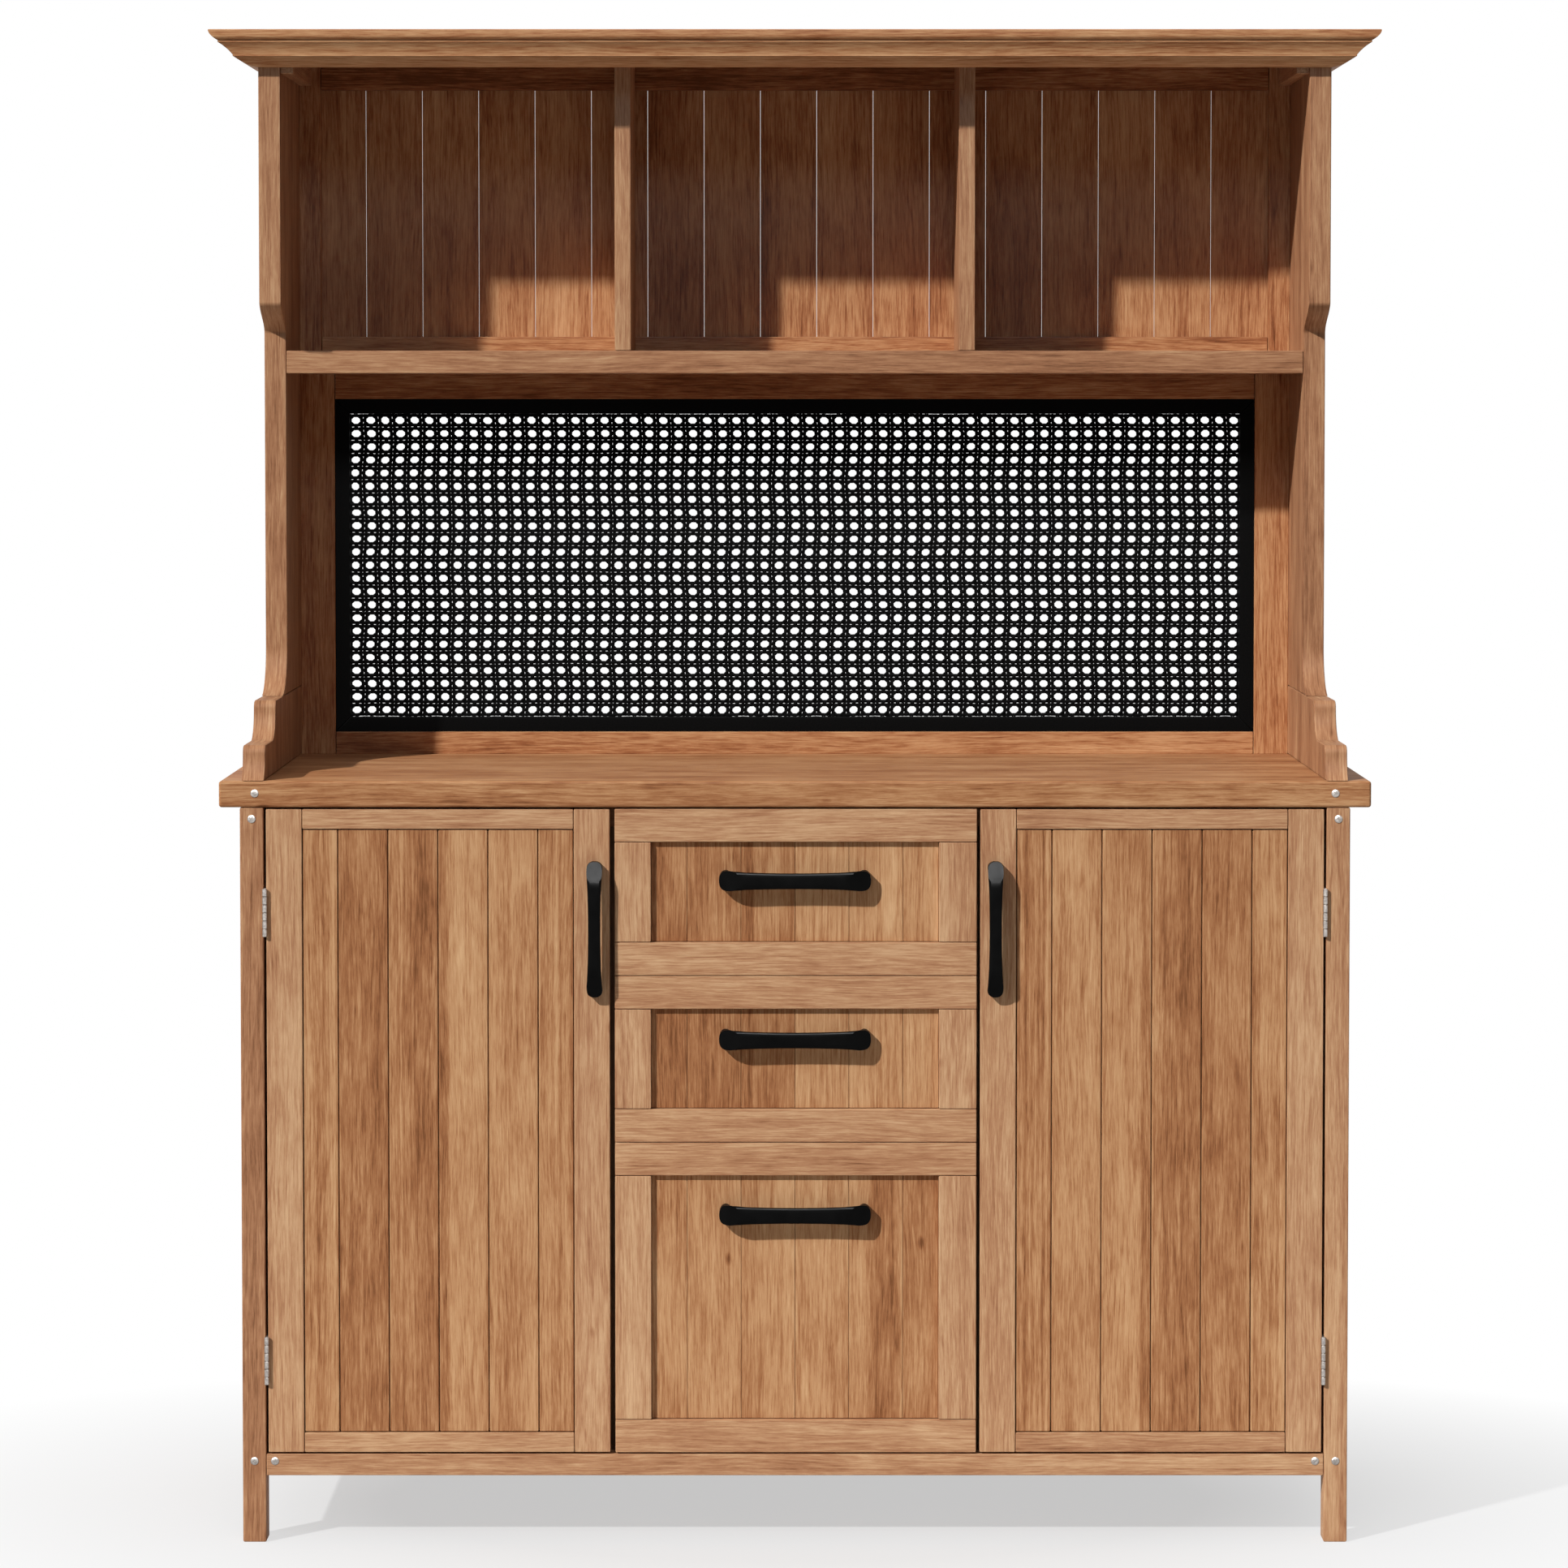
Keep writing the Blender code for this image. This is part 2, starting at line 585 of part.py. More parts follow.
def leaf_mesh(name, sign, first, fixed_pin):
    """Hinge leaf round its pin's axis: a notched plate whose tabs roll into knuckles."""
    plate_front = BARREL_RADIUS + SEAT_GAP
    plate_back = plate_front + LEAF_WIDTH
    inner = LEAF_GAP / 2
    outer = HINGE_GAP / 2 - SEAT_GAP
    half = HINGE_LENGTH / 2
    spans = knuckle_spans(first)
    outline = [(plate_back, half), (plate_back, -half), (plate_front, -half)]
    for low, high in spans:
        outline += [(plate_front, low), (0.0, low), (0.0, high), (plate_front, high)]
    outline.append((plate_front, half))
    plate_outline = [(sign * inner, y, z) for y, z in outline]
    plate = prism_mesh(name, plate_outline, (sign * (outer - inner), 0.0, 0.0))
    solids = [plate] + [rod_mesh(name, BARREL_RADIUS, low, high) for low, high in spans]
    if fixed_pin:
        return fused_mesh(name, solids + [rod_mesh(name, PIN_RADIUS, -half, half)])
    return fused_mesh(name, solids, [rod_mesh(name, PIN_RADIUS + PIN_PLAY, -2 * half, 2 * half)])


def build_hinge(side, place, z, body, finishes):
    """Butt hinge: one leaf and the pin on the leg, the other leaf on the door."""
    sign = dict(SIDES)[side]
    location = (sign * HINGE_X, y_at(HINGE_DEPTH), z)
    leaves = (("leg_leaf", 1, 0, True, None), ("door_leaf", -1, 1, False, body))
    for leaf, leaf_sign, first, fixed_pin, leaf_body in leaves:
        name = f"{side}_{place}_hinge_{leaf}"
        mesh = leaf_mesh(name, leaf_sign, first, fixed_pin)
        piece = add_piece(name, mesh, finishes["zinc"], location, leaf_body, smooth_angle=pi / 5)
        if sign < 0:
            piece.rotation_euler = (0.0, pi, 0.0)


def build_doors(finishes):
    """Framed doors with grooved panels, hung on the front legs."""
    height = FRONT_TOP - FRONT_BOTTOM
    half = DOOR_WIDTH / 2
    panel_half = half - DOOR_STILE - SEAT_GAP
    panel_height = height - 2 * DOOR_RAIL - 2 * SEAT_GAP
    panel_low = FRONT_BOTTOM + DOOR_RAIL + SEAT_GAP
    hinge_places = (("upper", FRONT_TOP - HINGE_TOP_DROP), ("lower", FRONT_BOTTOM + HINGE_BOTTOM_LIFT))
    for side, sign in SIDES:
        body = add_body(f"{side}_door_axis", (sign * HINGE_X, y_at(HINGE_DEPTH), FRONT_BOTTOM))
        middle = sign * (DOOR_INNER + half)
        name = f"{side}_door_frame"
        frame = ring_frame_mesh(name, half, height, DOOR_STILE, (DOOR_RAIL, DOOR_RAIL), FRONT_THICKNESS)
        location = (middle, y_at(FRONT_SETBACK), FRONT_BOTTOM)
        add_piece(name, frame, finishes["frame_wood"], location, body, EDGE_EASE)
        name = f"{side}_door_panel"
        panel = grooved_panel_mesh(name, panel_half, panel_height, DOOR_PANEL_THICKNESS, DOOR_BOARD)
        location = (middle, y_at(FRONT_SETBACK + DOOR_PANEL_SETBACK), panel_low)
        add_piece(name, panel, finishes["board_wood"], location, body)
        name = f"{side}_door_handle"
        handle = handle_mesh(name, DOOR_HANDLE_LENGTH, DOOR_FOOT_HEIGHT, DOOR_BAR_HEIGHT)
        x = sign * (DOOR_INNER + DOOR_HANDLE_INSET)
        z = FRONT_TOP - DOOR_HANDLE_DROP
        add_handle(name, handle, finishes, x, FRONT_SETBACK, z, body, upright=True)
        for place, z in hinge_places:
            build_hinge(side, place, z, body, finishes)


# Drawers

def tray_mesh(name, half_width, length, height):
    """Open box standing on z = 0, with its front at y = 0."""
    outer = box_mesh(name, (2 * half_width, length, height))
    shifted(outer, (0.0, length / 2, height / 2))
    inner = box_mesh(name, (2 * half_width - 2 * BOX_WALL, length - 2 * BOX_WALL, height))
    shifted(inner, (0.0, length / 2, height / 2 + BOX_BASE))
    return fused_mesh(name, [outer], [inner])


def build_drawers(finishes):
    """Framed fronts with grooved panels, each on an open box that slides on two ledges."""
    box_front = FRONT_BACK + SEAT_GAP
    box_back = BACK_FACE - BOX_REAR_GAP
    panel_face = FRONT_SETBACK + DRAWER_PANEL_SETBACK
    panel_half = DRAWER_HALF - DRAWER_STILE - SEAT_GAP
    for place, low, high in drawer_fronts():
        body = add_body(f"{place}_drawer_axis", (0.0, y_at(FRONT_SETBACK), (low + high) / 2))
        name = f"{place}_drawer_frame"
        rails = (DRAWER_RAIL, DRAWER_RAIL)
        frame = ring_frame_mesh(name, DRAWER_HALF, high - low, DRAWER_STILE, rails, FRONT_THICKNESS)
        location = (0.0, y_at(FRONT_SETBACK), low)
        add_piece(name, frame, finishes["frame_wood"], location, body, EDGE_EASE)
        name = f"{place}_drawer_panel"
        panel_height = high - low - 2 * DRAWER_RAIL - 2 * SEAT_GAP
        panel = grooved_panel_mesh(name, panel_half, panel_height, DRAWER_PANEL_THICKNESS, WALL_BOARD)
        location = (0.0, y_at(panel_face), low + DRAWER_RAIL + SEAT_GAP)
        add_piece(name, panel, finishes["board_wood"], location, body)
        name = f"{place}_drawer_box"
        box_height = high - low - BOX_LIFT - BOX_DROP
        box = tray_mesh(name, PARTITION_INNER - BOX_SIDE_GAP, box_back - box_front, box_height)
        location = (0.0, y_at(box_front), low + BOX_LIFT)
        add_piece(name, box, finishes["inner_wood"], location, body)
        name = f"{place}_drawer_handle"
        handle = handle_mesh(name, DRAWER_HANDLE_LENGTH, DRAWER_FOOT_HEIGHT, DRAWER_BAR_HEIGHT)
        add_handle(name, handle, finishes, 0.0, panel_face, high - HANDLE_DROPS[place], body)


# Hutch sides

def cove_points(top, foot):
    """Hollow arc of (depth, z) points: upright at the top, sweeping forward down to the foot."""
    drop = top[1] - foot[1]
    sweep = 2 * atan2(top[0] - foot[0], drop)
    radius = drop / sin(sweep)
    angles = [sweep * step / CURVE_STEPS for step in range(CURVE_STEPS + 1)]
    return [(top[0] - radius * (1 - cos(a)), top[1] - radius * sin(a)) for a in angles]


def nose_points(depth, top):
    """Rounded front corner of a step, from its front up to its top."""
    angles = [pi / 2 * step / CURVE_STEPS for step in range(CURVE_STEPS + 1)]
    middle = (depth + NOSE_RADIUS, top - NOSE_RADIUS)
    return [(middle[0] - NOSE_RADIUS * cos(a), middle[1] + NOSE_RADIUS * sin(a)) for a in angles]


def ogee_points(low, high):
    """S curve between two upright edges, from the lower (depth, z) to the upper."""
    points = []
    for step in range(2 * CURVE_STEPS + 1):
        share = step / (2 * CURVE_STEPS)
        ease = (1 - cos(pi * share)) / 2
        points.append((low[0] + ease * (high[0] - low[0]), low[1] + share * (high[1] - low[1])))
    return points


def bracket_outline():
    """Two scalloped steps rising to the back."""
    low = COUNTER_TOP + SEAT_GAP
    step = COUNTER_TOP + LOWER_STEP_HEIGHT
    top = BRACKET_TOP - SEAT_GAP / 2
    lower_cove = cove_points((LOWER_STEP_NOSE, step - NOSE_RADIUS), (LOWER_STEP_FOOT, low))
    upper_cove = cove_points((UPPER_STEP_NOSE, top - NOSE_RADIUS), (UPPER_STEP_FOOT, step))
    outline = [(CABINET_DEPTH, low)]
    outline += lower_cove[::-1] + nose_points(LOWER_STEP_NOSE, step)[1:]
    outline += upper_cove[::-1] + nose_points(UPPER_STEP_NOSE, top)[1:]
    outline.append((CABINET_DEPTH, top))
    return outline


def upper_side_outline():
    """Side board: flared foot, narrow waist beside the webbing and a deeper head at the cubbies."""
    low = BRACKET_TOP + SEAT_GAP / 2
    flare = cove_points((WAIST_DEPTH, low + FLARE_RISE), (FLARE_FOOT, low))
    ogee_low = SHELF_TOP + OGEE_LIFT
    ogee = ogee_points((WAIST_DEPTH, ogee_low), (CUBBY_DEPTH, ogee_low + OGEE_RISE))
    top = CAP_BOTTOM - SEAT_GAP
    outline = [(CABINET_DEPTH, low)]
    outline += flare[::-1] + ogee
    outline += [(CUBBY_DEPTH, top), (CABINET_DEPTH, top)]
    return outline


def build_hutch_sides(finishes):
    outlines = (("bracket", bracket_outline()), ("hutch_side", upper_side_outline()))
    for side, sign in SIDES:
        for piece, points in outlines:
            name = f"{side}_{piece}"
            outline = [(0.0, y_at(depth), z) for depth, z in points]
            mesh = prism_mesh(name, outline, (sign * HUTCH_SIDE_THICKNESS, 0.0, 0.0))
            location = (sign * HUTCH_INNER, 0.0, 0.0)
            add_piece(name, mesh, finishes["frame_wood"], location, smooth_angle=pi / 6)


# Hutch shelf, dividers and backs

def build_shelf_and_dividers(finishes):
    wood = finishes["frame_wood"]
    depth_span = (WAIST_DEPTH, BACK_PANEL_DEPTH - SEAT_GAP)
    x_span = (-PANEL_HALF, PANEL_HALF)
    add_board("hutch_shelf", x_span, depth_span, (SHELF_BOTTOM, SHELF_TOP), wood)
    top = CAP_BOTTOM - SEAT_GAP
    z_span = (SHELF_TOP + SEAT_GAP, top)
    near = (DIVIDER_SPACING - DIVIDER_THICKNESS) / 2
    for side, sign in SIDES:
        x_span = mirrored_span(sign, near, near + DIVIDER_THICKNESS)
        add_board(f"{side}_divider", x_span, depth_span, z_span, wood)
        x_span = mirrored_span(sign, PANEL_HALF - CLEAT_WIDTH, PANEL_HALF)
        cleat_depths = (CUBBY_DEPTH + EDGE_EASE, BACK_PANEL_DEPTH - SEAT_GAP)
        add_board(f"{side}_top_cleat", x_span, cleat_depths, (top - CLEAT_HEIGHT, top), wood)


def build_cubby_back(finishes):
    """Frame round upright boards that stand a slit apart."""
    low = SHELF_TOP + SEAT_GAP
    height = CAP_BOTTOM - SEAT_GAP - low
    rails = (CUBBY_BOTTOM_RAIL, CUBBY_TOP_RAIL)
    name = "cubby_back_frame"
    frame = ring_frame_mesh(name, PANEL_HALF, height, CUBBY_STILE, rails, CUBBY_FRAME_THICKNESS)
    location = (0.0, y_at(BACK_PANEL_DEPTH), low)
    add_piece(name, frame, finishes["back_wood"], location, ease=EDGE_EASE)
    x_cuts = [-PANEL_HALF]
    slit = CUBBY_FIRST_SLIT - HUTCH_INNER
    while slit < PANEL_HALF - CUBBY_STILE - CUBBY_BOARD_SLIT:
        x_cuts += [slit - CUBBY_BOARD_SLIT / 2, slit + CUBBY_BOARD_SLIT / 2]
        slit += CUBBY_BOARD
    x_cuts.append(PANEL_HALF)
    z_cuts = (0.0, CUBBY_BOTTOM_RAIL, height - CUBBY_TOP_RAIL, height)
    slits = {(column, 1) for column in range(1, len(x_cuts) - 1, 2)}
    name = "cubby_back_boards"
    boards = pierced_plate_mesh(name, x_cuts, z_cuts, CUBBY_BOARD_THICKNESS, slits)
    depth = BACK_PANEL_DEPTH + CUBBY_FRAME_THICKNESS + SEAT_GAP
    add_piece(name, boards, finishes["back_wood"], (0.0, y_at(depth), low))


def octagon_cell(bm, corners, hole_share):
    """Faces between a rectangular cell's corner vertices and an eight-sided hole in its middle."""
    middle = sum((corner.co for corner in corners), Vector()) / 4
    rim = []
    for index, corner in enumerate(corners):
        before = corners[index - 1].co
        after = corners[(index + 1) % 4].co
        for neighbour in (before, after):
            toward = corner.co.lerp(neighbour, CANE_CORNER)
            rim.append(bm.verts.new(middle.lerp(toward, hole_share)))
    faces = []
    for index, corner in enumerate(corners):
        incoming, outgoing = rim[2 * index], rim[2 * index + 1]
        next_incoming = rim[(2 * index + 2) % 8]
        faces.append(bm.faces.new((corner, outgoing, incoming)))
        faces.append(bm.faces.new((corner, corners[(index + 1) % 4], next_incoming, outgoing)))
    return faces


def webbing_mesh(name, half_width, height, lap):
    """Flat net of eight-sided holes with a plain margin, standing on z = 0."""
    bm = bmesh.new()
    cell_width = 2 * (half_width - lap) / CANE_COLUMNS
    cell_height = (height - 2 * lap) / CANE_ROWS
    x_cuts = [lap - half_width + column * cell_width for column in range(CANE_COLUMNS + 1)]
    z_cuts = [lap + row * cell_height for row in range(CANE_ROWS + 1)]
    x_cuts = [-half_width] + x_cuts + [half_width]
    z_cuts = [0.0] + z_cuts + [height]
    rows = [[bm.verts.new((x, 0.0, z)) for x in x_cuts] for z in z_cuts]
    faces = []
    for row, (lower, upper) in enumerate(zip(rows, rows[1:])):
        for column in range(CANE_COLUMNS + 2):
            corners = (lower[column], lower[column + 1], upper[column + 1], upper[column])
            if 0 < row <= CANE_ROWS and 0 < column <= CANE_COLUMNS:
                faces += octagon_cell(bm, corners, CANE_HOLE)
            else:
                faces.append(bm.faces.new(corners))
    extrude_faces(bm, faces, (0.0, CANE_THICKNESS, 0.0))
    return finished_mesh(bm, name)


def build_cane_panel(finishes):
    """Wooden frame, black border and the webbing held behind the border."""
    low = COUNTER_TOP + SEAT_GAP
    height = SHELF_BOTTOM - SEAT_GAP - low
    rails = (CANE_BOTTOM_RAIL, CANE_TOP_RAIL)
    name = "cane_frame"
    frame = ring_frame_mesh(name, PANEL_HALF, height, CANE_STILE, rails, CANE_FRAME_THICKNESS)
    location = (0.0, y_at(BACK_PANEL_DEPTH), low)
    add_piece(name, frame, finishes["back_wood"], location, ease=EDGE_EASE)
    border_half = PANEL_HALF - CANE_STILE - SEAT_GAP
    border_low = low + CANE_BOTTOM_RAIL + SEAT_GAP
    border_height = height - CANE_BOTTOM_RAIL - CANE_TOP_RAIL - 2 * SEAT_GAP
    rails = (CANE_BORDER, CANE_BORDER)
    name = "cane_border"
    border = ring_frame_mesh(name, border_half, border_height, CANE_BORDER, rails, CANE_BORDER_THICKNESS)
    border_depth = BACK_PANEL_DEPTH + CANE_BORDER_SETBACK
    add_piece(name, border, finishes["black_cane"], (0.0, y_at(border_depth), border_low))
    inset = CANE_BORDER - CANE_LAP
    name = "cane_webbing"
    webbing = webbing_mesh(name, border_half - inset, border_height - 2 * inset, CANE_LAP)
    depth = border_depth + CANE_BORDER_THICKNESS + SEAT_GAP
    add_piece(name, webbing, finishes["black_cane"], (0.0, y_at(depth), border_low + inset))


# Crown

def bowed_points(start, end, bow):
    """Shallow curve between two (reach, z) points that stands out from its chord by bow at its middle."""
    start, end = Vector(start), Vector(end)
    chord = end - start
    peak = Vector((-chord.y, chord.x)).normalized() * 4 * bow
    points = []
    for step in range(CURVE_STEPS + 1):
        share = step / CURVE_STEPS
        points.append((start + chord * share + peak * share * (1 - share))[:])
    return points


def crown_profile():
    """Moulding section as (reach, z) points: flat top, fillets, cove and ovolo, with a flat back."""
    top = CAP_BOTTOM - SEAT_GAP
    cove_top = top - CROWN_FILLET
    cove_foot = cove_top - COVE_DROP
    ovolo_top = cove_foot - CROWN_FILLET
    points = [(0.0, top), (COVE_REACH, top)]
    points += bowed_points((COVE_REACH, cove_top), (COVE_FOOT, cove_foot), -COVE_HOLLOW)
    points.append((COVE_FOOT, ovolo_top))
    points += bowed_points((OVOLO_REACH, ovolo_top), (0.0, ovolo_top - OVOLO_DROP), OVOLO_BULGE)
    return points


def build_crown(finishes):
    """Cap board over a moulding that is mitred at the front corners."""
    wood = finishes["frame_wood"]
    profile = crown_profile()
    side_face = HUTCH_OUTER + SEAT_GAP
    front_face = CUBBY_DEPTH - SEAT_GAP
    rings = []
    for _, sign in SIDES:
        end = side_face - SEAT_GAP
        rings.append([(sign * (end + reach), y_at(front_face - CROWN_FRONT_SHARE * reach), z)
                      for reach, z in profile])
    add_piece("front_crown", loft_mesh("front_crown", rings), wood, (0.0, 0.0, 0.0), smooth_angle=pi / 6)
    for side, sign in SIDES:
        start = front_face + SEAT_GAP
        mitre = [(sign * (side_face + reach), y_at(start - CROWN_FRONT_SHARE * reach), z)
                 for reach, z in profile]
        square = [(sign * (side_face + reach), y_at(CABINET_DEPTH), z) for reach, z in profile]
        name = f"{side}_crown"
        add_piece(name, loft_mesh(name, [mitre, square]), wood, (0.0, 0.0, 0.0), smooth_angle=pi / 6)
    rings = []
    for step in range(CURVE_STEPS + 1):
        share = step / CURVE_STEPS
        inset = CAP_ROUND * share ** 2
        z = CAP_TOP - CAP_THICKNESS * share
        half = HUTCH_OUTER + CAP_REACH - inset
        front = y_at(CUBBY_DEPTH - CROWN_FRONT_SHARE * (CAP_REACH - inset))
        back = y_at(CABINET_DEPTH)
        rings.append([(-half, front, z), (half, front, z), (half, back, z), (-half, back, z)])
    add_piece("crown_cap", loft_mesh("crown_cap", rings), wood, (0.0, 0.0, 0.0), smooth_angle=pi / 6)


def build_cabinet():
    for item in list(bpy.data.objects):
        bpy.data.objects.remove(item, do_unlink=True)
    finishes = make_finishes()
    build_legs_and_rails(finishes)
    build_side_panels(finishes)
    build_back_and_floor(finishes)
    build_partitions(finishes)
    build_counter(finishes)
    build_doors(finishes)
    build_drawers(finishes)
    build_hutch_sides(finishes)
    build_shelf_and_dividers(finishes)
    build_cubby_back(finishes)
    build_cane_panel(finishes)
    build_crown(finishes)


build_cabinet()
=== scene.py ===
"""Looks of the garden storage cabinet: stained boards, black handles and cane webbing on its frame.

Units are metres, +Z is up and the front faces -Y. Every wooden node is rebuilt from separate boards
with rounded edges, and each vertex keeps its place in the grain of its board for the wood shader.
"""

import json
import random
from math import atan2, copysign, cos, pi, radians, sin

import bmesh
import bpy
from mathutils import Matrix, Vector


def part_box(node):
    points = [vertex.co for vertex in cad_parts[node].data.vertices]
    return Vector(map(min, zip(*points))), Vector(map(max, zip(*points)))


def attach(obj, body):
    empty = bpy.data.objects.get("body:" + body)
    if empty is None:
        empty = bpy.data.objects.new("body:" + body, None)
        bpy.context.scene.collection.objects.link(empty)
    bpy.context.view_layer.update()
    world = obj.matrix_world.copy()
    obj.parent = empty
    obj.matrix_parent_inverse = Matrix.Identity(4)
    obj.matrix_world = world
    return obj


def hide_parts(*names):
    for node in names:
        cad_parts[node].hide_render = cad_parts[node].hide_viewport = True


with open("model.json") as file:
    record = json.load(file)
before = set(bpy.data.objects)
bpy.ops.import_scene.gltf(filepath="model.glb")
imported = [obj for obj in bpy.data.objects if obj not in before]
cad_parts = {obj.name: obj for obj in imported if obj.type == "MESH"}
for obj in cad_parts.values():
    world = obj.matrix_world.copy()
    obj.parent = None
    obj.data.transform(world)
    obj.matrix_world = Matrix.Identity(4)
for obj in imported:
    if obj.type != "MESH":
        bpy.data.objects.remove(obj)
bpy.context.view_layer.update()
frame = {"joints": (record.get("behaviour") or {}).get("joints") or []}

SIDES = (("left", -1), ("right", 1))
DRAWERS = ("top", "middle", "bottom")
HANDS = (-1, 1)
X, Y, Z = 0, 1, 2

# Board widths and edges
EASE = 0.0011  # rounding of sawn edges
EDGE_STEPS = 2
LEG_EASE = 0.0016
GROOVE_EASE = 0.0006  # rounding of the edges of wall boards
GROOVE_GAP = 0.001  # between panel boards, over their tongues
FINE_GROOVE = 0.0004  # the same on the drawers
TONGUE_REACH = 0.003
BACK_LAP = 0.003  # of the backs' frames behind the shelf
SNUG = 0.0005  # reach of backs and borders into what holds them
COUNTER_EASE = 0.003
COUNTER_STEPS = 4
WALL_BOARD = 0.0573
LEAST_BOARD = 0.006  # a narrower strip joins the board beside it
JOINT_GAP = 0.0006  # fine line where a rail meets a stile
SIDE_RAIL = 0.040
SIDE_RAIL_LAP = 0.010
SIDE_BOARD = 0.012
SIDE_BOARD_INSET = 0.006  # boards behind the faces of their rails
BOX_WALL = 0.012
BOX_BASE = 0.008
BOX_BASE_EASE = 0.0005
PARTITION = 0.018
RUNNER_HEIGHT = 0.012
BOX_SEAT = 0.0003
CUBBY_STILE = 0.024
CUBBY_RAILS = (0.017, 0.039)  # bottom and top
CUBBY_BOARD = 0.064
CUBBY_SLIT = 0.0004
CUBBY_EASE = 0.0003
PLANK_LIP = 0.002
PLANK_REBATE = 0.003
CUBBY_FIRST_SLIT = 0.0747  # from the left end of the boards
CANE_STILE = 0.0385
CANE_RAILS = (0.025, 0.028)
CANE_BORDER = 0.0165
BORDER_EASE = 0.0012
SMOOTH_ANGLE = radians(40)  # sharper edges stay sharp
END_FACING = 0.9  # faces that look this far along a prism are its ends

# Door and drawer fronts
DOOR_FRONT = {
    "through": "stiles", "stile": 0.038, "rail": 0.021, "grow": 0.0, "trim": 0.0,
    "slack": 0.0006, "setback": 0.0, "board": 0.053, "gap": GROOVE_GAP, "ease": 0.0012,
}
DRAWER_FRONT = {
    "through": "rails", "stile": 0.040, "rail": 0.035, "grow": 0.00035, "trim": 0.0016,
    "slack": 0.0, "setback": 0.0018, "board": WALL_BOARD, "gap": FINE_GROOVE, "ease": FINE_GROOVE,
}

# Tones of boards, added to a stain's middle tone
PALE = 0.13
LIGHT = 0.09
MILD = 0.05
FAINT = 0.04
DUSKY = -0.06
DARK = -0.10
DEEP = -0.14
# painted shade: a much darker tone for the cubby back's top rail, standing in for the shade under the crown
PAINTED_CROWN_SHADE = -0.26
BOARD_SPREAD = 0.03  # chance difference of boards, either way
CUBBY_SPREAD = 0.1
STRIPED = 1.0  # figure of boards, added to the least stripes
VEINED = 0.5

# Dark heartwood bands: distance from a board's edge and half width
DOOR_HEART = (0.006, 0.005)
DRAWER_HEART = (0.010, 0.003)
DEEP_HEART = (0.020, 0.015)
NO_HEART = 9.0  # half widths away, on boards without a band

# Wood shader; noises by scale across and along the grain, detail and roughness
GRAIN_LAYERS = ("grain", "tone", "figure", "heart")
GRAIN_SHIFT = 3.0  # boards start up to this far along the pattern
RIM_FACING = 0.7  # faces that look less sideways have the grain of their rim
WOOD_NOISES = {
    "fibre": (560.0, 30.0, 4.0, 0.7),
    "fleck": (150.0, 60.0, 3.0, 0.6),
    "streak": (110.0, 6.0, 3.0, 0.55),
    "band": (34.0, 0.8, 1.0, 0.5),
    "pore": (560.0, 22.0, 1.0, 0.5),
    "blotch": (30.0, 11.0, 4.0, 0.6),
    "ribbon": (260.0, 0.7, 2.0, 0.5),
}
STRAIGHT_NOISES = ("blotch", "ribbon")  # the others follow the drift of the grain
DRIFT_SCALE = (9.0, 9.0, 2.6)
DRIFT_REACH = (0.02, 0.02, 0.0)
WOOD_WEIGHTS = {"fibre": 1.25, "fleck": 0.18, "streak": 0.36, "band": 0.50, "blotch": 0.62,
                "pores": -0.20, "growth": -0.09}
STRIPE_WEIGHT = 0.65
STRIPE_LEAST = 0.35  # added to a board's figure
KNOT_WEIGHT = -0.42
HEART_WEIGHT = -0.24
HEART_RAGGED = 1.6
HEART_EDGE = (1.25, 0.7)  # half widths between which the band darkens
PORE_EDGE = (0.12, 0.28)
GROWTH_TURNS = 11.0  # growth lines over the range of the bands
GROWTH_EDGE = (0.55, 1.0)
KNOT_SCALE = (16.0, 16.0, 7.0)
KNOT_EDGE = (0.06, 0.015)
KNOT_RARITY = 0.55
WOOD_SPECULAR = 0.03
WOOD_SHINE = 0.3  # swing of the roughness with the fibres
WOOD_BUMP = (0.25, 0.0004)  # strength and depth
PORE_DEPTH = -0.5

# Stepped brackets and hutch sides
LOWER_STEP_HEIGHT = 0.0365
LOWER_STEP_NOSE = 0.0137  # from the bracket's foot back to the nose of each step
UPPER_STEP_FOOT = 0.091
UPPER_STEP_NOSE = 0.119
NOSE_RADIUS = 0.009
FLARE_FOOT = 0.002  # from the side's foremost edge, at the cubbies
FLARE_RISE = 0.052
WAIST = 0.050
OGEE_LIFT = 0.0185
OGEE_RISE = 0.034
CURVE_STEPS = 14
SHARES = [step / CURVE_STEPS for step in range(CURVE_STEPS + 1)]

# Crown
CAP_EASE = 0.0012
CAP_ROUND = 0.0104
CAP_FRONT = 0.030  # reach over the hutch sides' front edges
CAP_FRONT_ROUND = 0.0062
CAP_CURVE = 2.0
CAP_FRONT_CURVE = 8.0
CAP_EASE_STEPS = 4
CAP_STEPS = 12
CAP_EDGE_SHARE = 0.15  # of the height, to the first ring under the rounding
SIDE_REACHES = (0.0406, 0.025, 0.0235)  # of the cove's top and foot and of the ovolo
FRONT_REACHES = (0.0265, 0.0198, 0.0172)
SIDE_HOLLOW = 0.0012
FRONT_HOLLOW = 0.001
COVE_DROP = 0.0134
CROWN_FILLET = 0.0014
OVOLO_DROP = 0.011
OVOLO_BULGE = 0.0018

# Handles
HANDLE_FOOT = 0.014
BAR_DEPTH = 0.007
HANDLE_HEEL = 0.009
HANDLE_HEEL_DROP = 0.004
HANDLE_RAMP = 0.021
SHOULDER = 0.006
SHOULDER_SHARE = 0.4
DRAWER_BAR_HEIGHT = 0.0166
DOOR_BAR_HEIGHT = 0.013
BAR_SQUARENESS = 0.6
END_SQUARENESS = 0.9
HANDLE_SIDES = 40
BAR_STEPS = 12
HANDLE_ANGLE = radians(28)

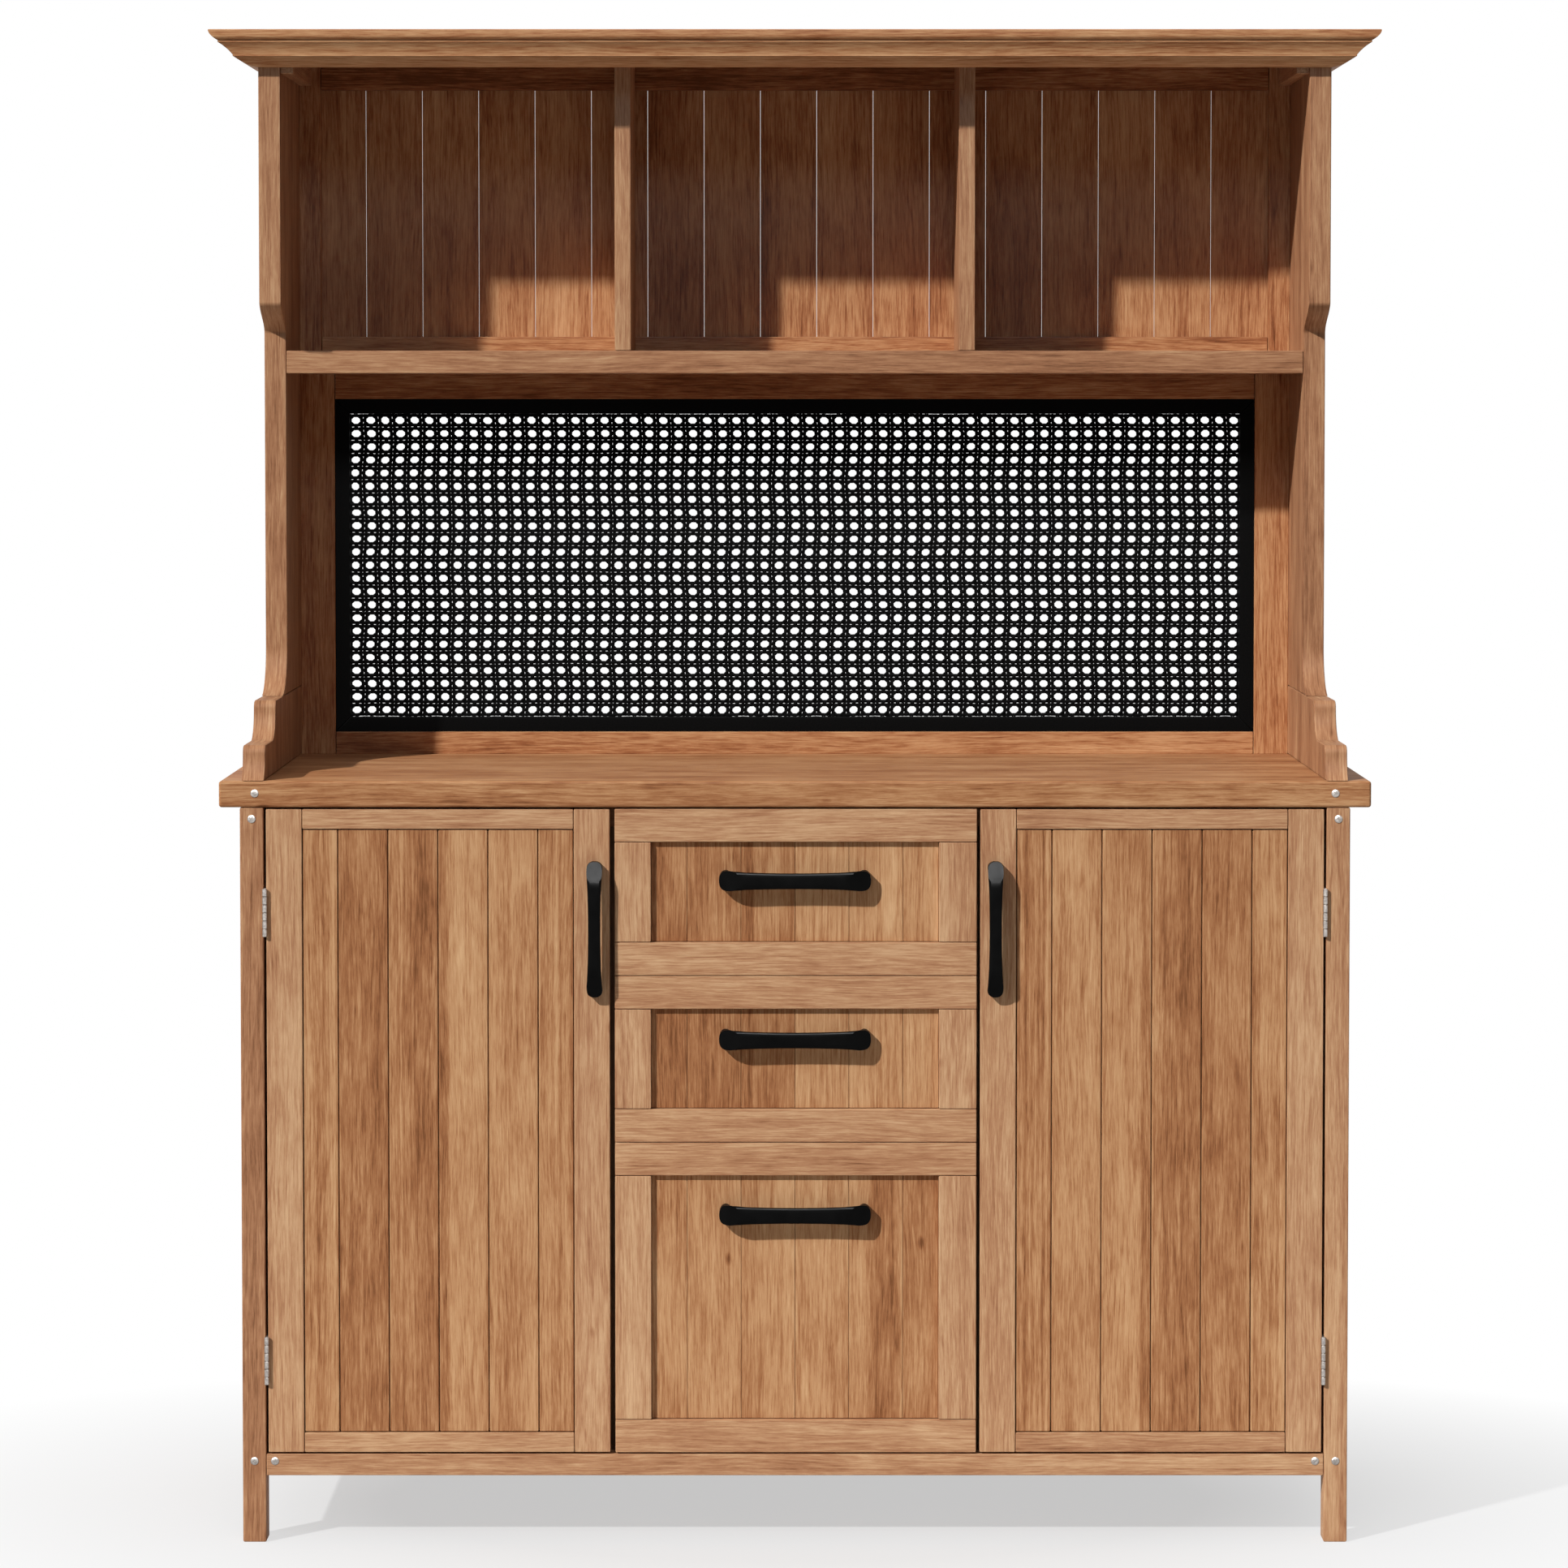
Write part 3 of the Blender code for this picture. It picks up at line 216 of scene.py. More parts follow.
# Hinges and screws
ROUND_SIDES = 32
BARREL_RADIUS = 0.0026
BARREL_RIM = 0.0004  # softening of a knuckle's rims
HINGE_LENGTH = 0.0515
KNUCKLES = 6
KNUCKLE_GAP = 0.0005
PLATE_REACHES = (0.00025, 0.001)  # faces of a leaf's plate, from the hinge axis
PLATE_EASE = 0.0002
SCREW_RADIUS = 0.0044
SCREW_DOME = 0.0016
SCREW_SINK = 0.00048  # depth of the head in the wood
SCREW_TIP = 0.0002  # radius of the flats that close the head
SCREW_STEPS = 8
SCREW_ANGLE = radians(30)
SLOT_WIDTH = 0.0009
SLOT_REACH = 0.0024
SLOT_FLOOR = 0.35  # share of the dome's height
SLOT_EASE = 0.0001
COUNTER_SCREW_SHIFT = (-0.0035, 0.001)  # from the middles of leg and counter
LEG_SCREW_DROP = 0.012
RAIL_SCREW_LIFT = 0.004
RAIL_SCREW_INSET = 0.009

# Cane webbing
CANE_COLUMNS = 61
CANE_TUCK = 0.002  # of the end strands behind the border
CANE_ROWS = 23
STRAND_WIDTH = 0.0035
STRAND_DEPTH = 0.0006
STRAND_FLAT = 0.55  # share of a strand's width that lies flat
PAIR_OFFSET = 0.002
SLANT_WIDTH = 0.0029
WEAVE_DEPTH = 0.0005
CANE_JITTER = 0.0005
CANE_SWAY = 0.0012  # sideways shift of the rows
CANE_SWAY_ROWS = 6.5

# Light, floor and camera
SUN_TRAVEL = (1.05, 1.0, -1.05)
SUN_LEVEL = 3.9
SUN_WIDTH = radians(2.0)
SKY_LEVEL = 0.085
ZENITH_LEVEL = 0.85
ZENITH_RISE = (0.55, 0.95)  # heights between which the sky brightens
CARD_SIZE = (0.8, 0.5)
CARD_POWER = 230.0
CARD_PLACE = Vector((0.0, -2.0, 2.7))
CARD_TARGET = Vector((0.0, -0.2, 0.66))
WHITE = (1.0, 1.0, 1.0, 1.0)
FLOOR_COLOUR = (0.50, 0.50, 0.50, 1.0)
FLOOR_ROUGHNESS = 0.9
FLOOR_RADIUS = 2.4
FLOOR_SIDES = 96
FLOOR_FADE = (0.45, 1.25)  # distances between which it turns white
FLOOR_LEAST_WHITE = 0.55
FLOOR_STRETCH = (1.0, 1.6, 0.0)  # how distances count along each axis
CAMERA_PLACE = (-0.0045, -5.202, 1.2136)
CAMERA_TILT = radians(90.0 - 2.433)
CAMERA_LENS = 108.87
CAMERA_SHIFT = (-0.0043, -0.115)


def box_of(node):
    """Low and high corners of a node, as copies."""
    low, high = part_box(node)
    return Vector(low), Vector(high)


# Shader nodes

def add_node(tree, kind, inputs=None, **settings):
    """New node; each input is a socket to link or a value to set."""
    item = tree.nodes.new(kind)
    for key, value in settings.items():
        setattr(item, key, value)
    for key, value in (inputs or {}).items():
        if isinstance(value, bpy.types.NodeSocket):
            tree.links.new(value, item.inputs[key])
        else:
            item.inputs[key].default_value = value
    return item


def calc(tree, operation, *values):
    """Math node's result."""
    return add_node(tree, "ShaderNodeMath", dict(enumerate(values)), operation=operation).outputs[0]


def vector_calc(tree, operation, *values):
    """Vector math node's result."""
    return add_node(tree, "ShaderNodeVectorMath", dict(enumerate(values)), operation=operation).outputs[0]


def map_range(tree, value, start, end, low=0.0, high=1.0):
    """Value brought from one range into another."""
    inputs = {"Value": value, "From Min": start, "From Max": end, "To Min": low, "To Max": high}
    return add_node(tree, "ShaderNodeMapRange", inputs).outputs[0]


def stretched(tree, vector, scale):
    return add_node(tree, "ShaderNodeMapping", {"Vector": vector, "Scale": scale}).outputs[0]


def stretched_noise(tree, vector, scale, detail=2.0, roughness=0.5):
    """Noise stretched along each axis, as a value round 0."""
    place = stretched(tree, vector, scale)
    inputs = {"Vector": place, "Scale": 1.0, "Detail": detail, "Roughness": roughness}
    return calc(tree, "SUBTRACT", add_node(tree, "ShaderNodeTexNoise", inputs).outputs[0], 0.5)


def new_material(name):
    material = bpy.data.materials.new(name)
    material.use_nodes = True
    tree = material.node_tree
    return material, tree, tree.nodes["Principled BSDF"]


def ramp(tree, value, stops):
    """Colour ramp with (place, colour) stops."""
    item = add_node(tree, "ShaderNodeValToRGB", {"Fac": value})
    elements = item.color_ramp.elements
    while len(elements) < len(stops):
        elements.new(0.5)
    for element, (place, colour) in zip(elements, stops):
        element.position = place
        element.color = (*colour, 1.0)
    return item.outputs[0]


def set_surface(tree, shader, colour, rough, relief, strength, depth):
    """Colour, roughness and bump of a shader."""
    inputs = {"Height": relief, "Strength": strength, "Distance": depth}
    bump = add_node(tree, "ShaderNodeBump", inputs).outputs[0]
    for key, value in (("Base Color", colour), ("Roughness", rough), ("Normal", bump)):
        tree.links.new(value, shader.inputs[key])


def wood_material(name, stain, contrast=1.0, roughness=0.5):
    """Stained wood with fibres, blotches, pores, growth lines, stripes, pin knots and heartwood."""
    material, tree, shader = new_material(name)
    shader.inputs["Specular IOR Level"].default_value = WOOD_SPECULAR
    layers = {key: add_node(tree, "ShaderNodeAttribute", attribute_name=key).outputs for key in GRAIN_LAYERS}
    grain = layers["grain"]["Vector"]
    tone, figure, heart = (layers[key]["Fac"] for key in ("tone", "figure", "heart"))
    slow = {"Vector": stretched(tree, grain, DRIFT_SCALE), "Scale": 1.0, "Detail": 2.0}
    drift = add_node(tree, "ShaderNodeTexNoise", slow).outputs["Color"]
    centred = vector_calc(tree, "SUBTRACT", drift, (0.5, 0.5, 0.5))
    lines = vector_calc(tree, "ADD", grain, vector_calc(tree, "MULTIPLY", centred, DRIFT_REACH))

    noises = {}
    for key, (across, along, detail, rough) in WOOD_NOISES.items():
        place = grain if key in STRAIGHT_NOISES else lines
        noises[key] = stretched_noise(tree, place, (across, across, along), detail, rough)
    noises["pores"] = map_range(tree, noises["pore"], *PORE_EDGE)
    swing = calc(tree, "SINE", calc(tree, "MULTIPLY", noises["band"], GROWTH_TURNS * 2 * pi))
    noises["growth"] = map_range(tree, swing, *GROWTH_EDGE)
    stripes = calc(tree, "MULTIPLY", noises["ribbon"], calc(tree, "ADD", figure, STRIPE_LEAST))
    ragged = calc(tree, "MULTIPLY_ADD", noises["streak"], HEART_RAGGED, heart)
    core = map_range(tree, calc(tree, "ABSOLUTE", ragged), *HEART_EDGE)

    shares = [(noises[key], weight * contrast) for key, weight in WOOD_WEIGHTS.items()]
    shares += [(stripes, STRIPE_WEIGHT), (pin_knots(tree, grain), KNOT_WEIGHT), (core, HEART_WEIGHT)]
    value = calc(tree, "ADD", tone, 0.5)
    for noise, weight in shares:
        value = calc(tree, "MULTIPLY_ADD", noise, weight, value)
    colour = ramp(tree, value, list(zip(STAIN_PLACES, stain)))
    rough = calc(tree, "MULTIPLY_ADD", noises["fibre"], WOOD_SHINE, roughness)
    relief = calc(tree, "MULTIPLY_ADD", noises["pores"], PORE_DEPTH, noises["fibre"])
    set_surface(tree, shader, colour, rough, relief, *WOOD_BUMP)
    return material


def pin_knots(tree, grain):
    """1 at a few small knots, drawn out along the grain, 0 elsewhere."""
    place = stretched(tree, grain, KNOT_SCALE)
    cells = add_node(tree, "ShaderNodeTexVoronoi", {"Vector": place, "Scale": 1.0}).outputs
    spot = map_range(tree, cells["Distance"], *KNOT_EDGE)
    return calc(tree, "MULTIPLY", spot, calc(tree, "GREATER_THAN", cells["Color"], KNOT_RARITY))


def plain_material(name, stops, patch, relief, rough, bump, specular, metallic=0.0):
    """Surface with patches of colour and shine and a fine relief.

    patch and relief are (scale, detail), rough is (middle, swing) and bump is (strength, depth).
    """
    material, tree, shader = new_material(name)
    shader.inputs["Specular IOR Level"].default_value = specular
    shader.inputs["Metallic"].default_value = metallic
    place = add_node(tree, "ShaderNodeTexCoord").outputs["Object"]
    patches = stretched_noise(tree, place, *patch)
    colour = ramp(tree, calc(tree, "ADD", patches, 0.5), stops)
    shine = calc(tree, "MULTIPLY_ADD", patches, rough[1], rough[0])
    set_surface(tree, shader, colour, shine, stretched_noise(tree, place, *relief), *bump)
    return material


BLACK = (0.001, 0.001, 0.001)
CANE_STOPS = ((0.3, BLACK), (0.75, (0.003, 0.003, 0.003)))
CANE_SHEEN = ((0.55, 0.3), (0.25, 0.0003), 0.02)
BORDER_RIDGE = ((700.0, 700.0, 700.0), 2.0)
STRAND_RIDGE = ((900.0, 900.0, 60.0), 2.0)
COAT_STOPS = ((0.2, BLACK), (0.8, (0.0025, 0.0025, 0.0025)))
COAT_SHEEN = ((0.36, 0.2), (0.2, 0.0002), 0.04)
COAT_PATCH = ((60.0, 60.0, 60.0), 2.0)
COAT_PEEL = ((900.0, 900.0, 900.0), 2.0)
ZINC_STOPS = ((0.25, (0.30, 0.27, 0.25)), (0.75, (0.48, 0.45, 0.42)))
ZINC_SHEEN = ((0.38, 0.4), (0.15, 0.0002), 0.5, 1.0)
ZINC_MOTTLE = ((500.0, 500.0, 500.0), 3.0)
ZINC_LINES = ((2500.0, 2500.0, 120.0), 1.0)
STAIN_PLACES = (0.0, 0.25, 0.42, 0.58, 0.70, 1.0)
PALE_STAIN = ((0.165, 0.070, 0.033), (0.300, 0.136, 0.067), (0.381, 0.184, 0.093),
              (0.445, 0.235, 0.122), (0.503, 0.287, 0.153), (0.617, 0.392, 0.223))
WARM_STAIN = ((0.165, 0.062, 0.024), (0.305, 0.124, 0.051), (0.386, 0.178, 0.078),
              (0.468, 0.242, 0.114), (0.515, 0.283, 0.138), (0.617, 0.376, 0.198))
RED_STAIN = ((0.165, 0.056, 0.021), (0.305, 0.113, 0.045), (0.386, 0.163, 0.069),
             (0.468, 0.224, 0.101), (0.515, 0.263, 0.123), (0.617, 0.352, 0.178))
MATERIALS = {
    "frame_wood": wood_material("stained_frame", PALE_STAIN),
    "leg_wood": wood_material("stained_leg", PALE_STAIN),
    "counter_wood": wood_material("stained_counter", WARM_STAIN),
    "crown_wood": wood_material("stained_crown", RED_STAIN, contrast=1.25),
    "board_wood": wood_material("stained_board", WARM_STAIN),
    "back_wood": wood_material("stained_back", RED_STAIN, contrast=1.3),
    "inner_wood": wood_material("plain_inside", PALE_STAIN, contrast=0.8, roughness=0.6),
    "black_metal": plain_material("powder_coat", COAT_STOPS, COAT_PATCH, COAT_PEEL, *COAT_SHEEN),
    "black_border": plain_material("cane_border_strip", CANE_STOPS, BORDER_RIDGE, BORDER_RIDGE, *CANE_SHEEN),
    "black_cane": plain_material("cane_strand", CANE_STOPS, STRAND_RIDGE, STRAND_RIDGE, *CANE_SHEEN),
    "zinc": plain_material("zinc_plate", ZINC_STOPS, ZINC_MOTTLE, ZINC_LINES, *ZINC_SHEEN),
}


# Mesh tools

def show(name, data):
    """New object in the scene."""
    item = bpy.data.objects.new(name, data)
    bpy.context.scene.collection.objects.link(item)
    return item


def add_object(name, mesh, finish, body, nodes=(), smooth_angle=SMOOTH_ANGLE):
    """Piece with a finish that rides on a body and stands for its nodes."""
    mesh.materials.append(MATERIALS[finish])
    mesh.shade_smooth()
    mesh.set_sharp_from_angle(angle=smooth_angle)
    piece = show(name, mesh)
    weighted = piece.modifiers.new("flat_faces", "WEIGHTED_NORMAL")
    weighted.keep_sharp = True
    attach(piece, body)
    if nodes:
        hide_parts(*nodes)


def mesh_from(bm, name):
    bmesh.ops.recalc_face_normals(bm, faces=bm.faces)
    mesh = bpy.data.meshes.new(name)
    bm.to_mesh(mesh)
    bm.free()
    return mesh


def merged(solids, name):
    """One mesh of several solids."""
    whole = bmesh.new()
    for solid in solids:
        mesh = mesh_from(solid, "part")
        whole.from_mesh(mesh)
        bpy.data.meshes.remove(mesh)
    return mesh_from(whole, name)


def round_edges(bm, edges, ease, segments=EDGE_STEPS):
    bmesh.ops.bevel(bm, geom=edges, offset=ease, segments=segments, profile=0.5, affect="EDGES")
    return bm


def rounded_box(low, high, ease, segments=EDGE_STEPS):
    """Box between two corners with rounded edges."""
    bm = bmesh.new()
    bmesh.ops.create_cube(bm, size=1.0)
    bmesh.ops.scale(bm, vec=high - low, verts=bm.verts)
    bmesh.ops.translate(bm, vec=(low + high) / 2, verts=bm.verts)
    return round_edges(bm, bm.edges[:], ease, segments)


def rounded_prism(outline, travel, ease):
    """Outline extruded along travel, with the edges of both flat faces rounded."""
    bm = bmesh.new()
    face = bm.faces.new([bm.verts.new(point) for point in outline])
    result = bmesh.ops.extrude_face_region(bm, geom=[face])
    moved = [item for item in result["geom"] if isinstance(item, bmesh.types.BMVert)]
    bmesh.ops.translate(bm, vec=travel, verts=moved)
    bmesh.ops.recalc_face_normals(bm, faces=bm.faces)
    sweep = Vector(travel).normalized()
    ends = [face for face in bm.faces if abs(face.normal.dot(sweep)) > END_FACING]
    return round_edges(bm, list({edge for face in ends for edge in face.edges}), ease)


def skin(bm, rings):
    """Closed skin over rings of equally many points, added to bm."""
    loops = [[bm.verts.new(point) for point in ring] for ring in rings]
    for lower, upper in zip(loops, loops[1:]):
        for index in range(len(lower)):
            following = (index + 1) % len(lower)
            bm.faces.new((lower[index], lower[following], upper[following], upper[index]))
    bm.faces.new(loops[0])
    bm.faces.new(loops[-1])


def loft(rings):
    """Solid skinned over rings."""
    bm = bmesh.new()
    skin(bm, rings)
    bmesh.ops.recalc_face_normals(bm, faces=bm.faces)
    return bm


def turned(profile):
    """Solid turned round Z from (radius, z) points."""
    angles = [2 * pi * step / ROUND_SIDES for step in range(ROUND_SIDES)]
    return loft([[(radius * cos(a), radius * sin(a), z) for a in angles] for radius, z in profile])


class Lumber:
    """Boards of one wooden piece, each with its own stretch of grain, tone and figure."""

    def __init__(self, node, name, finish, body, spread):
        self.node, self.name, self.finish, self.body = node, name, finish, body
        self.spread = spread
        self.random = random.Random(name)
        self.points = []
        self.faces = []
        self.layers = {layer: [] for layer in GRAIN_LAYERS}

    def add(self, bm, along, tone=0.0, figure=0.0, heart=None, rim=None):
        """Solid with its grain along an axis, or along its rim on the faces that don't look sideways.

        heart is a dark band's axis, middle and half width; rim gives the way along an edge at (y, z).
        """
        offset = [self.random.uniform(0.0, GRAIN_SHIFT) for _ in range(3)]
        tone += self.random.uniform(-self.spread, self.spread)
        order = [axis for axis in (X, Y, Z) if axis != along] + [along]
        start = len(self.points)
        bm.verts.index_update()
        for vertex in bm.verts:
            self.points.append(vertex.co[:])
            self.layers["tone"].append(tone)
            self.layers["figure"].append(figure)
            self.layers["heart"].append((vertex.co[heart[0]] - heart[1]) / heart[2] if heart else NO_HEART)
        for face in bm.faces:
            self.faces.append([start + vertex.index for vertex in face.verts])
            on_rim = rim is not None and abs(face.normal.x) < RIM_FACING
            for vertex in face.verts:
                place = [vertex.co[axis] for axis in order]
                if on_rim:
                    place = [vertex.co.x, 0.0, rim(vertex.co.y, vertex.co.z)]
                self.layers["grain"] += [value + shift for value, shift in zip(place, offset)]
        bm.free()

    def board(self, low, high, along, ease=EASE, segments=EDGE_STEPS, **looks):
        self.add(rounded_box(Vector(low), Vector(high), ease, segments), along, **looks)

    def done(self):
        mesh = bpy.data.meshes.new(self.name)
        mesh.from_pydata(self.points, [], self.faces)
        for layer, values in self.layers.items():
            kinds = ("FLOAT_VECTOR", "CORNER") if layer == "grain" else ("FLOAT", "POINT")
            field = "vector" if layer == "grain" else "value"
            mesh.attributes.new(layer, *kinds).data.foreach_set(field, values)
        add_object(self.name, mesh, self.finish, self.body, (self.node,))


def start_lumber(node, name, finish, body="cabinet", spread=BOARD_SPREAD):
    """Lumber for a node, with the low and high corners of its box."""
    return Lumber(node, name, finish, body, spread), *box_of(node)


def single_board(node, finish, along, **looks):
    """Node of the cabinet made of one board."""
    lumber, low, high = start_lumber(node, node + "_board", finish)
    lumber.board(low, high, along, **looks)
    lumber.done()


def board_edges(low, high, board):
    """Edges of boards laid from the middle of a span outwards."""
    middle = (low + high) / 2
    count = int((high - low) / 2 / board)
    inner = [middle + step * board for step in range(-count, count + 1)]
    return [low] + [edge for edge in inner if low + LEAST_BOARD < edge < high - LEAST_BOARD] + [high]


def add_row(lumber, low, high, across, along, edges, looks=(), gap=GROOVE_GAP, ease=GROOVE_EASE):
    """Row of boards between edges, with tongues behind their gaps; looks go board by board."""
    depth = ({X, Y, Z} - {across, along}).pop()
    for index, (start, end) in enumerate(zip(edges, edges[1:])):
        board_low, board_high = Vector(low), Vector(high)
        board_low[across] = start + (gap / 2 if index else 0.0)
        board_high[across] = end - (gap / 2 if end < edges[-1] else 0.0)
        lumber.board(board_low, board_high, along, ease, **(looks[index] if looks else {}))
    inset = Vector()
    inset[depth], inset[along] = (high[depth] - low[depth]) / 3, TONGUE_REACH
    for edge in edges[1:-1]:
        tongue_low, tongue_high = low + inset, high - inset
        tongue_low[across], tongue_high[across] = edge - TONGUE_REACH, edge + TONGUE_REACH
        lumber.board(tongue_low, tongue_high, along, GROOVE_EASE, segments=1)


def add_frame(lumber, low, high, stile, rails, through, tone=0.0, top_tone=None, trim=0.0):
    """Four boards round an opening in XZ; stiles or rails run through at the corners."""
    bottom, top = low.z + rails[0], high.z - rails[1]
    left, inner_left, inner_right = low.x + trim, low.x + stile, high.x - stile
    if through == "stiles":
        stile_z = (low.z, high.z)
        rail_x = (inner_left + JOINT_GAP, inner_right - JOINT_GAP)
    else:
        stile_z = (bottom + JOINT_GAP, top - JOINT_GAP)
        rail_x = (left, high.x)
    for start, end in ((left, inner_left), (inner_right, high.x)):
        lumber.board((start, low.y, stile_z[0]), (end, high.y, stile_z[1]), Z, tone=tone)
    # a separate darker tone for the top rail, where given, is painted shade for a frame under an overhang
    upper_tone = tone if top_tone is None else top_tone
    for start, end, shade in ((low.z, bottom, tone), (top, high.z, upper_tone)):
        lumber.board((rail_x[0], low.y, start), (rail_x[1], high.y, end), X, tone=shade)


# Base

def build_base():
    for side, tone in (("left", DARK), ("right", PALE)):
        for place in ("front", "rear"):
            single_board(f"{place}_{side}_leg", "leg_wood", Z, ease=LEG_EASE, tone=tone)
    for place in ("front", "rear"):
        single_board(f"{place}_bottom_rail", "leg_wood", X, tone=PALE)
    single_board("front_top_rail", "inner_wood", X)
    single_board("countertop", "counter_wood", X, ease=COUNTER_EASE, segments=COUNTER_STEPS, tone=DUSKY)
    for side, sign in SIDES:
        build_side_panel(side, sign)
        single_board(f"{side}_inner_shelf", "inner_wood", X)
        build_partition(side, sign)
    for node, name, finish, across, along, width in (
        ("base_back_panel", "base_back_boards", "board_wood", X, Z, WALL_BOARD),
        ("floor_board", "floor_boards", "inner_wood", Y, X, 2 * WALL_BOARD),
    ):
        lumber, low, high = start_lumber(node, name, finish)
        add_row(lumber, low, high, across, along, board_edges(low[across], high[across], width))
        lumber.done()


def build_side_panel(side, sign):
    """Two rails and the upright boards between them."""
    lumber, low, high = start_lumber(f"{side}_side_panel", f"{side}_side_boards", "board_wood")
    for start, end in ((low.z, low.z + SIDE_RAIL), (high.z - SIDE_RAIL, high.z)):
        lumber.board((low.x, low.y, start), (high.x, high.y, end), Y)
    outer = sign * max(abs(low.x), abs(high.x)) - sign * SIDE_BOARD_INSET
    left, right = sorted((outer, outer - sign * SIDE_BOARD))
    board_low = Vector((left, low.y, low.z + SIDE_RAIL - SIDE_RAIL_LAP))
    board_high = Vector((right, high.y, high.z - SIDE_RAIL + SIDE_RAIL_LAP))
    add_row(lumber, board_low, board_high, Y, Z, board_edges(low.y, high.y, WALL_BOARD))
    lumber.done()


def build_partition(side, sign):
    """Upright board with a runner under each drawer box."""
    node = f"{side}_partition"
    lumber, low, high = start_lumber(node, node + "_board", "inner_wood")
    ledge_end, outer = (low.x, high.x) if sign > 0 else (high.x, low.x)
    inner = outer - sign * PARTITION
    left, right = sorted((inner, outer))
    lumber.board((left, low.y, low.z), (right, high.y, high.z), Z)
    left, right = sorted((inner, ledge_end))
    for place in DRAWERS:
        top = box_of(f"{place}_drawer_box")[0].z - BOX_SEAT
        lumber.board((left, low.y, top - RUNNER_HEIGHT), (right, high.y, top), Y)
    lumber.done()


# Handles

def handle_section(middle, direction, thickness, height, squareness):
    """Rounded section of a handle; middle and direction are (along, out)."""
    normal = (-direction[1], direction[0])
    ring = []
    for step in range(HANDLE_SIDES):
        angle = 2 * pi * step / HANDLE_SIDES
        wide = copysign(abs(cos(angle)) ** squareness, cos(angle)) * thickness / 2
        tall = copysign(abs(sin(angle)) ** squareness, sin(angle)) * height / 2
        ring.append((middle[0] + normal[0] * wide, -(middle[1] + normal[1] * wide), tall))
    return ring


def cut_flat(bm, point, normal):
    """Take off what stands beyond a plane and close the cut."""
    whole = bm.verts[:] + bm.edges[:] + bm.faces[:]
    result = bmesh.ops.bisect_plane(bm, geom=whole, plane_co=point, plane_no=normal, clear_outer=True)
    rim = [item for item in result["geom_cut"] if isinstance(item, bmesh.types.BMEdge)]
    bmesh.ops.edgeloop_fill(bm, edges=rim)


def handle_mesh(name, length, projection, foot_height, bar_height):
    """Bow handle along X on the plane y = 0, with wide slanted ends and a slimmer bar."""
    end = -length / 2
    bar_out = projection - BAR_DEPTH / 2
    bar_inner = projection - BAR_DEPTH
    foot_end = end + HANDLE_FOOT
    slope = HANDLE_RAMP / (projection - HANDLE_HEEL)
    inner_bend = Vector((foot_end + slope * HANDLE_HEEL_DROP, bar_inner))
    walls = (
        (Vector((end, 0.0)), Vector((foot_end, 0.0))),
        (Vector((end, HANDLE_HEEL)), Vector((foot_end, HANDLE_HEEL - HANDLE_HEEL_DROP))),
        (Vector((end, projection)), inner_bend),
    )
    half = []
    for outer, inner in walls:
        across = outer - inner
        direction = Vector((across.y, -across.x)).normalized()
        half.append(((outer + inner) / 2, direction, across.length, foot_height, END_SQUARENESS))
    shoulder = inner_bend.x + SHOULDER
    extra = SHOULDER_SHARE * (foot_height - bar_height)
    for step in range(BAR_STEPS):
        share = 1 - step / BAR_STEPS
        station = (shoulder * share, bar_out)
        height = bar_height + extra * share ** 2
        half.append((station, (1.0, 0.0), BAR_DEPTH, height, BAR_SQUARENESS))
    rings = [handle_section(*station) for station in half]
    bow = loft(rings + [[(-x, y, z) for x, y, z in ring] for ring in reversed(rings)])
    for hand in HANDS:
        heel = Vector((hand * length / 2, -HANDLE_HEEL, 0.0))
        slant = Vector((hand * (projection - HANDLE_HEEL), -HANDLE_RAMP, 0.0))
        cut_flat(bow, heel, slant)
    return mesh_from(bow, name)


def build_handle(node, body, bar_height, upright):
    low, high = box_of(node)
    size = high - low
    length, foot_height = (size.z, size.x) if upright else (size.x, size.z)
    mesh = handle_mesh(node + "_bow", length, size.y, foot_height, bar_height)
    turn = Matrix.Rotation(pi / 2, 4, "Y") if upright else Matrix.Identity(4)
    seat = Vector(((low.x + high.x) / 2, high.y, (low.z + high.z) / 2))
    mesh.transform(Matrix.Translation(seat) @ turn)
    add_object(node + "_bow", mesh, "black_metal", body, (node,), HANDLE_ANGLE)


# Doors and hinges

def build_front(body, looks, through, stile, rail, grow, trim, slack, setback, board, gap, ease):
    """Frame and panel of a door or drawer.

    The frame grows past its node above and below and is trimmed at its left; the panel's boards have
    slack in the frame and lie back by the setback.
    """
    lumber, low, high = start_lumber(f"{body}_frame", f"{body}_stiles_and_rails", "frame_wood", body)
    low.z -= grow
    high.z += grow
    add_frame(lumber, low, high, stile, (rail, rail), through, tone=PALE, trim=trim)
    lumber.done()
    lumber, low, high = start_lumber(f"{body}_panel", f"{body}_boards", "board_wood", body)
    low += Vector((slack, setback, slack))
    high -= Vector((slack, 0.0, slack))
    edges = board_edges(low.x, high.x, board)
    add_row(lumber, low, high, X, Z, edges, looks(edges), gap, ease)
    lumber.done()


def door_board_looks(edges, sign):
    """Boards from the hinge side: striped, dark, dark, pale with dark heartwood, pale, striped."""
    offset, half = DOOR_HEART
    heart = (X, edges[len(edges) // 2] - sign * offset, half)
    looks = [{"tone": MILD, "figure": STRIPED}, {"tone": DUSKY}, {"tone": DARK, "figure": VEINED},
             {"tone": LIGHT, "heart": heart}, {"tone": LIGHT}, {"figure": STRIPED}]
    return looks[::-sign]


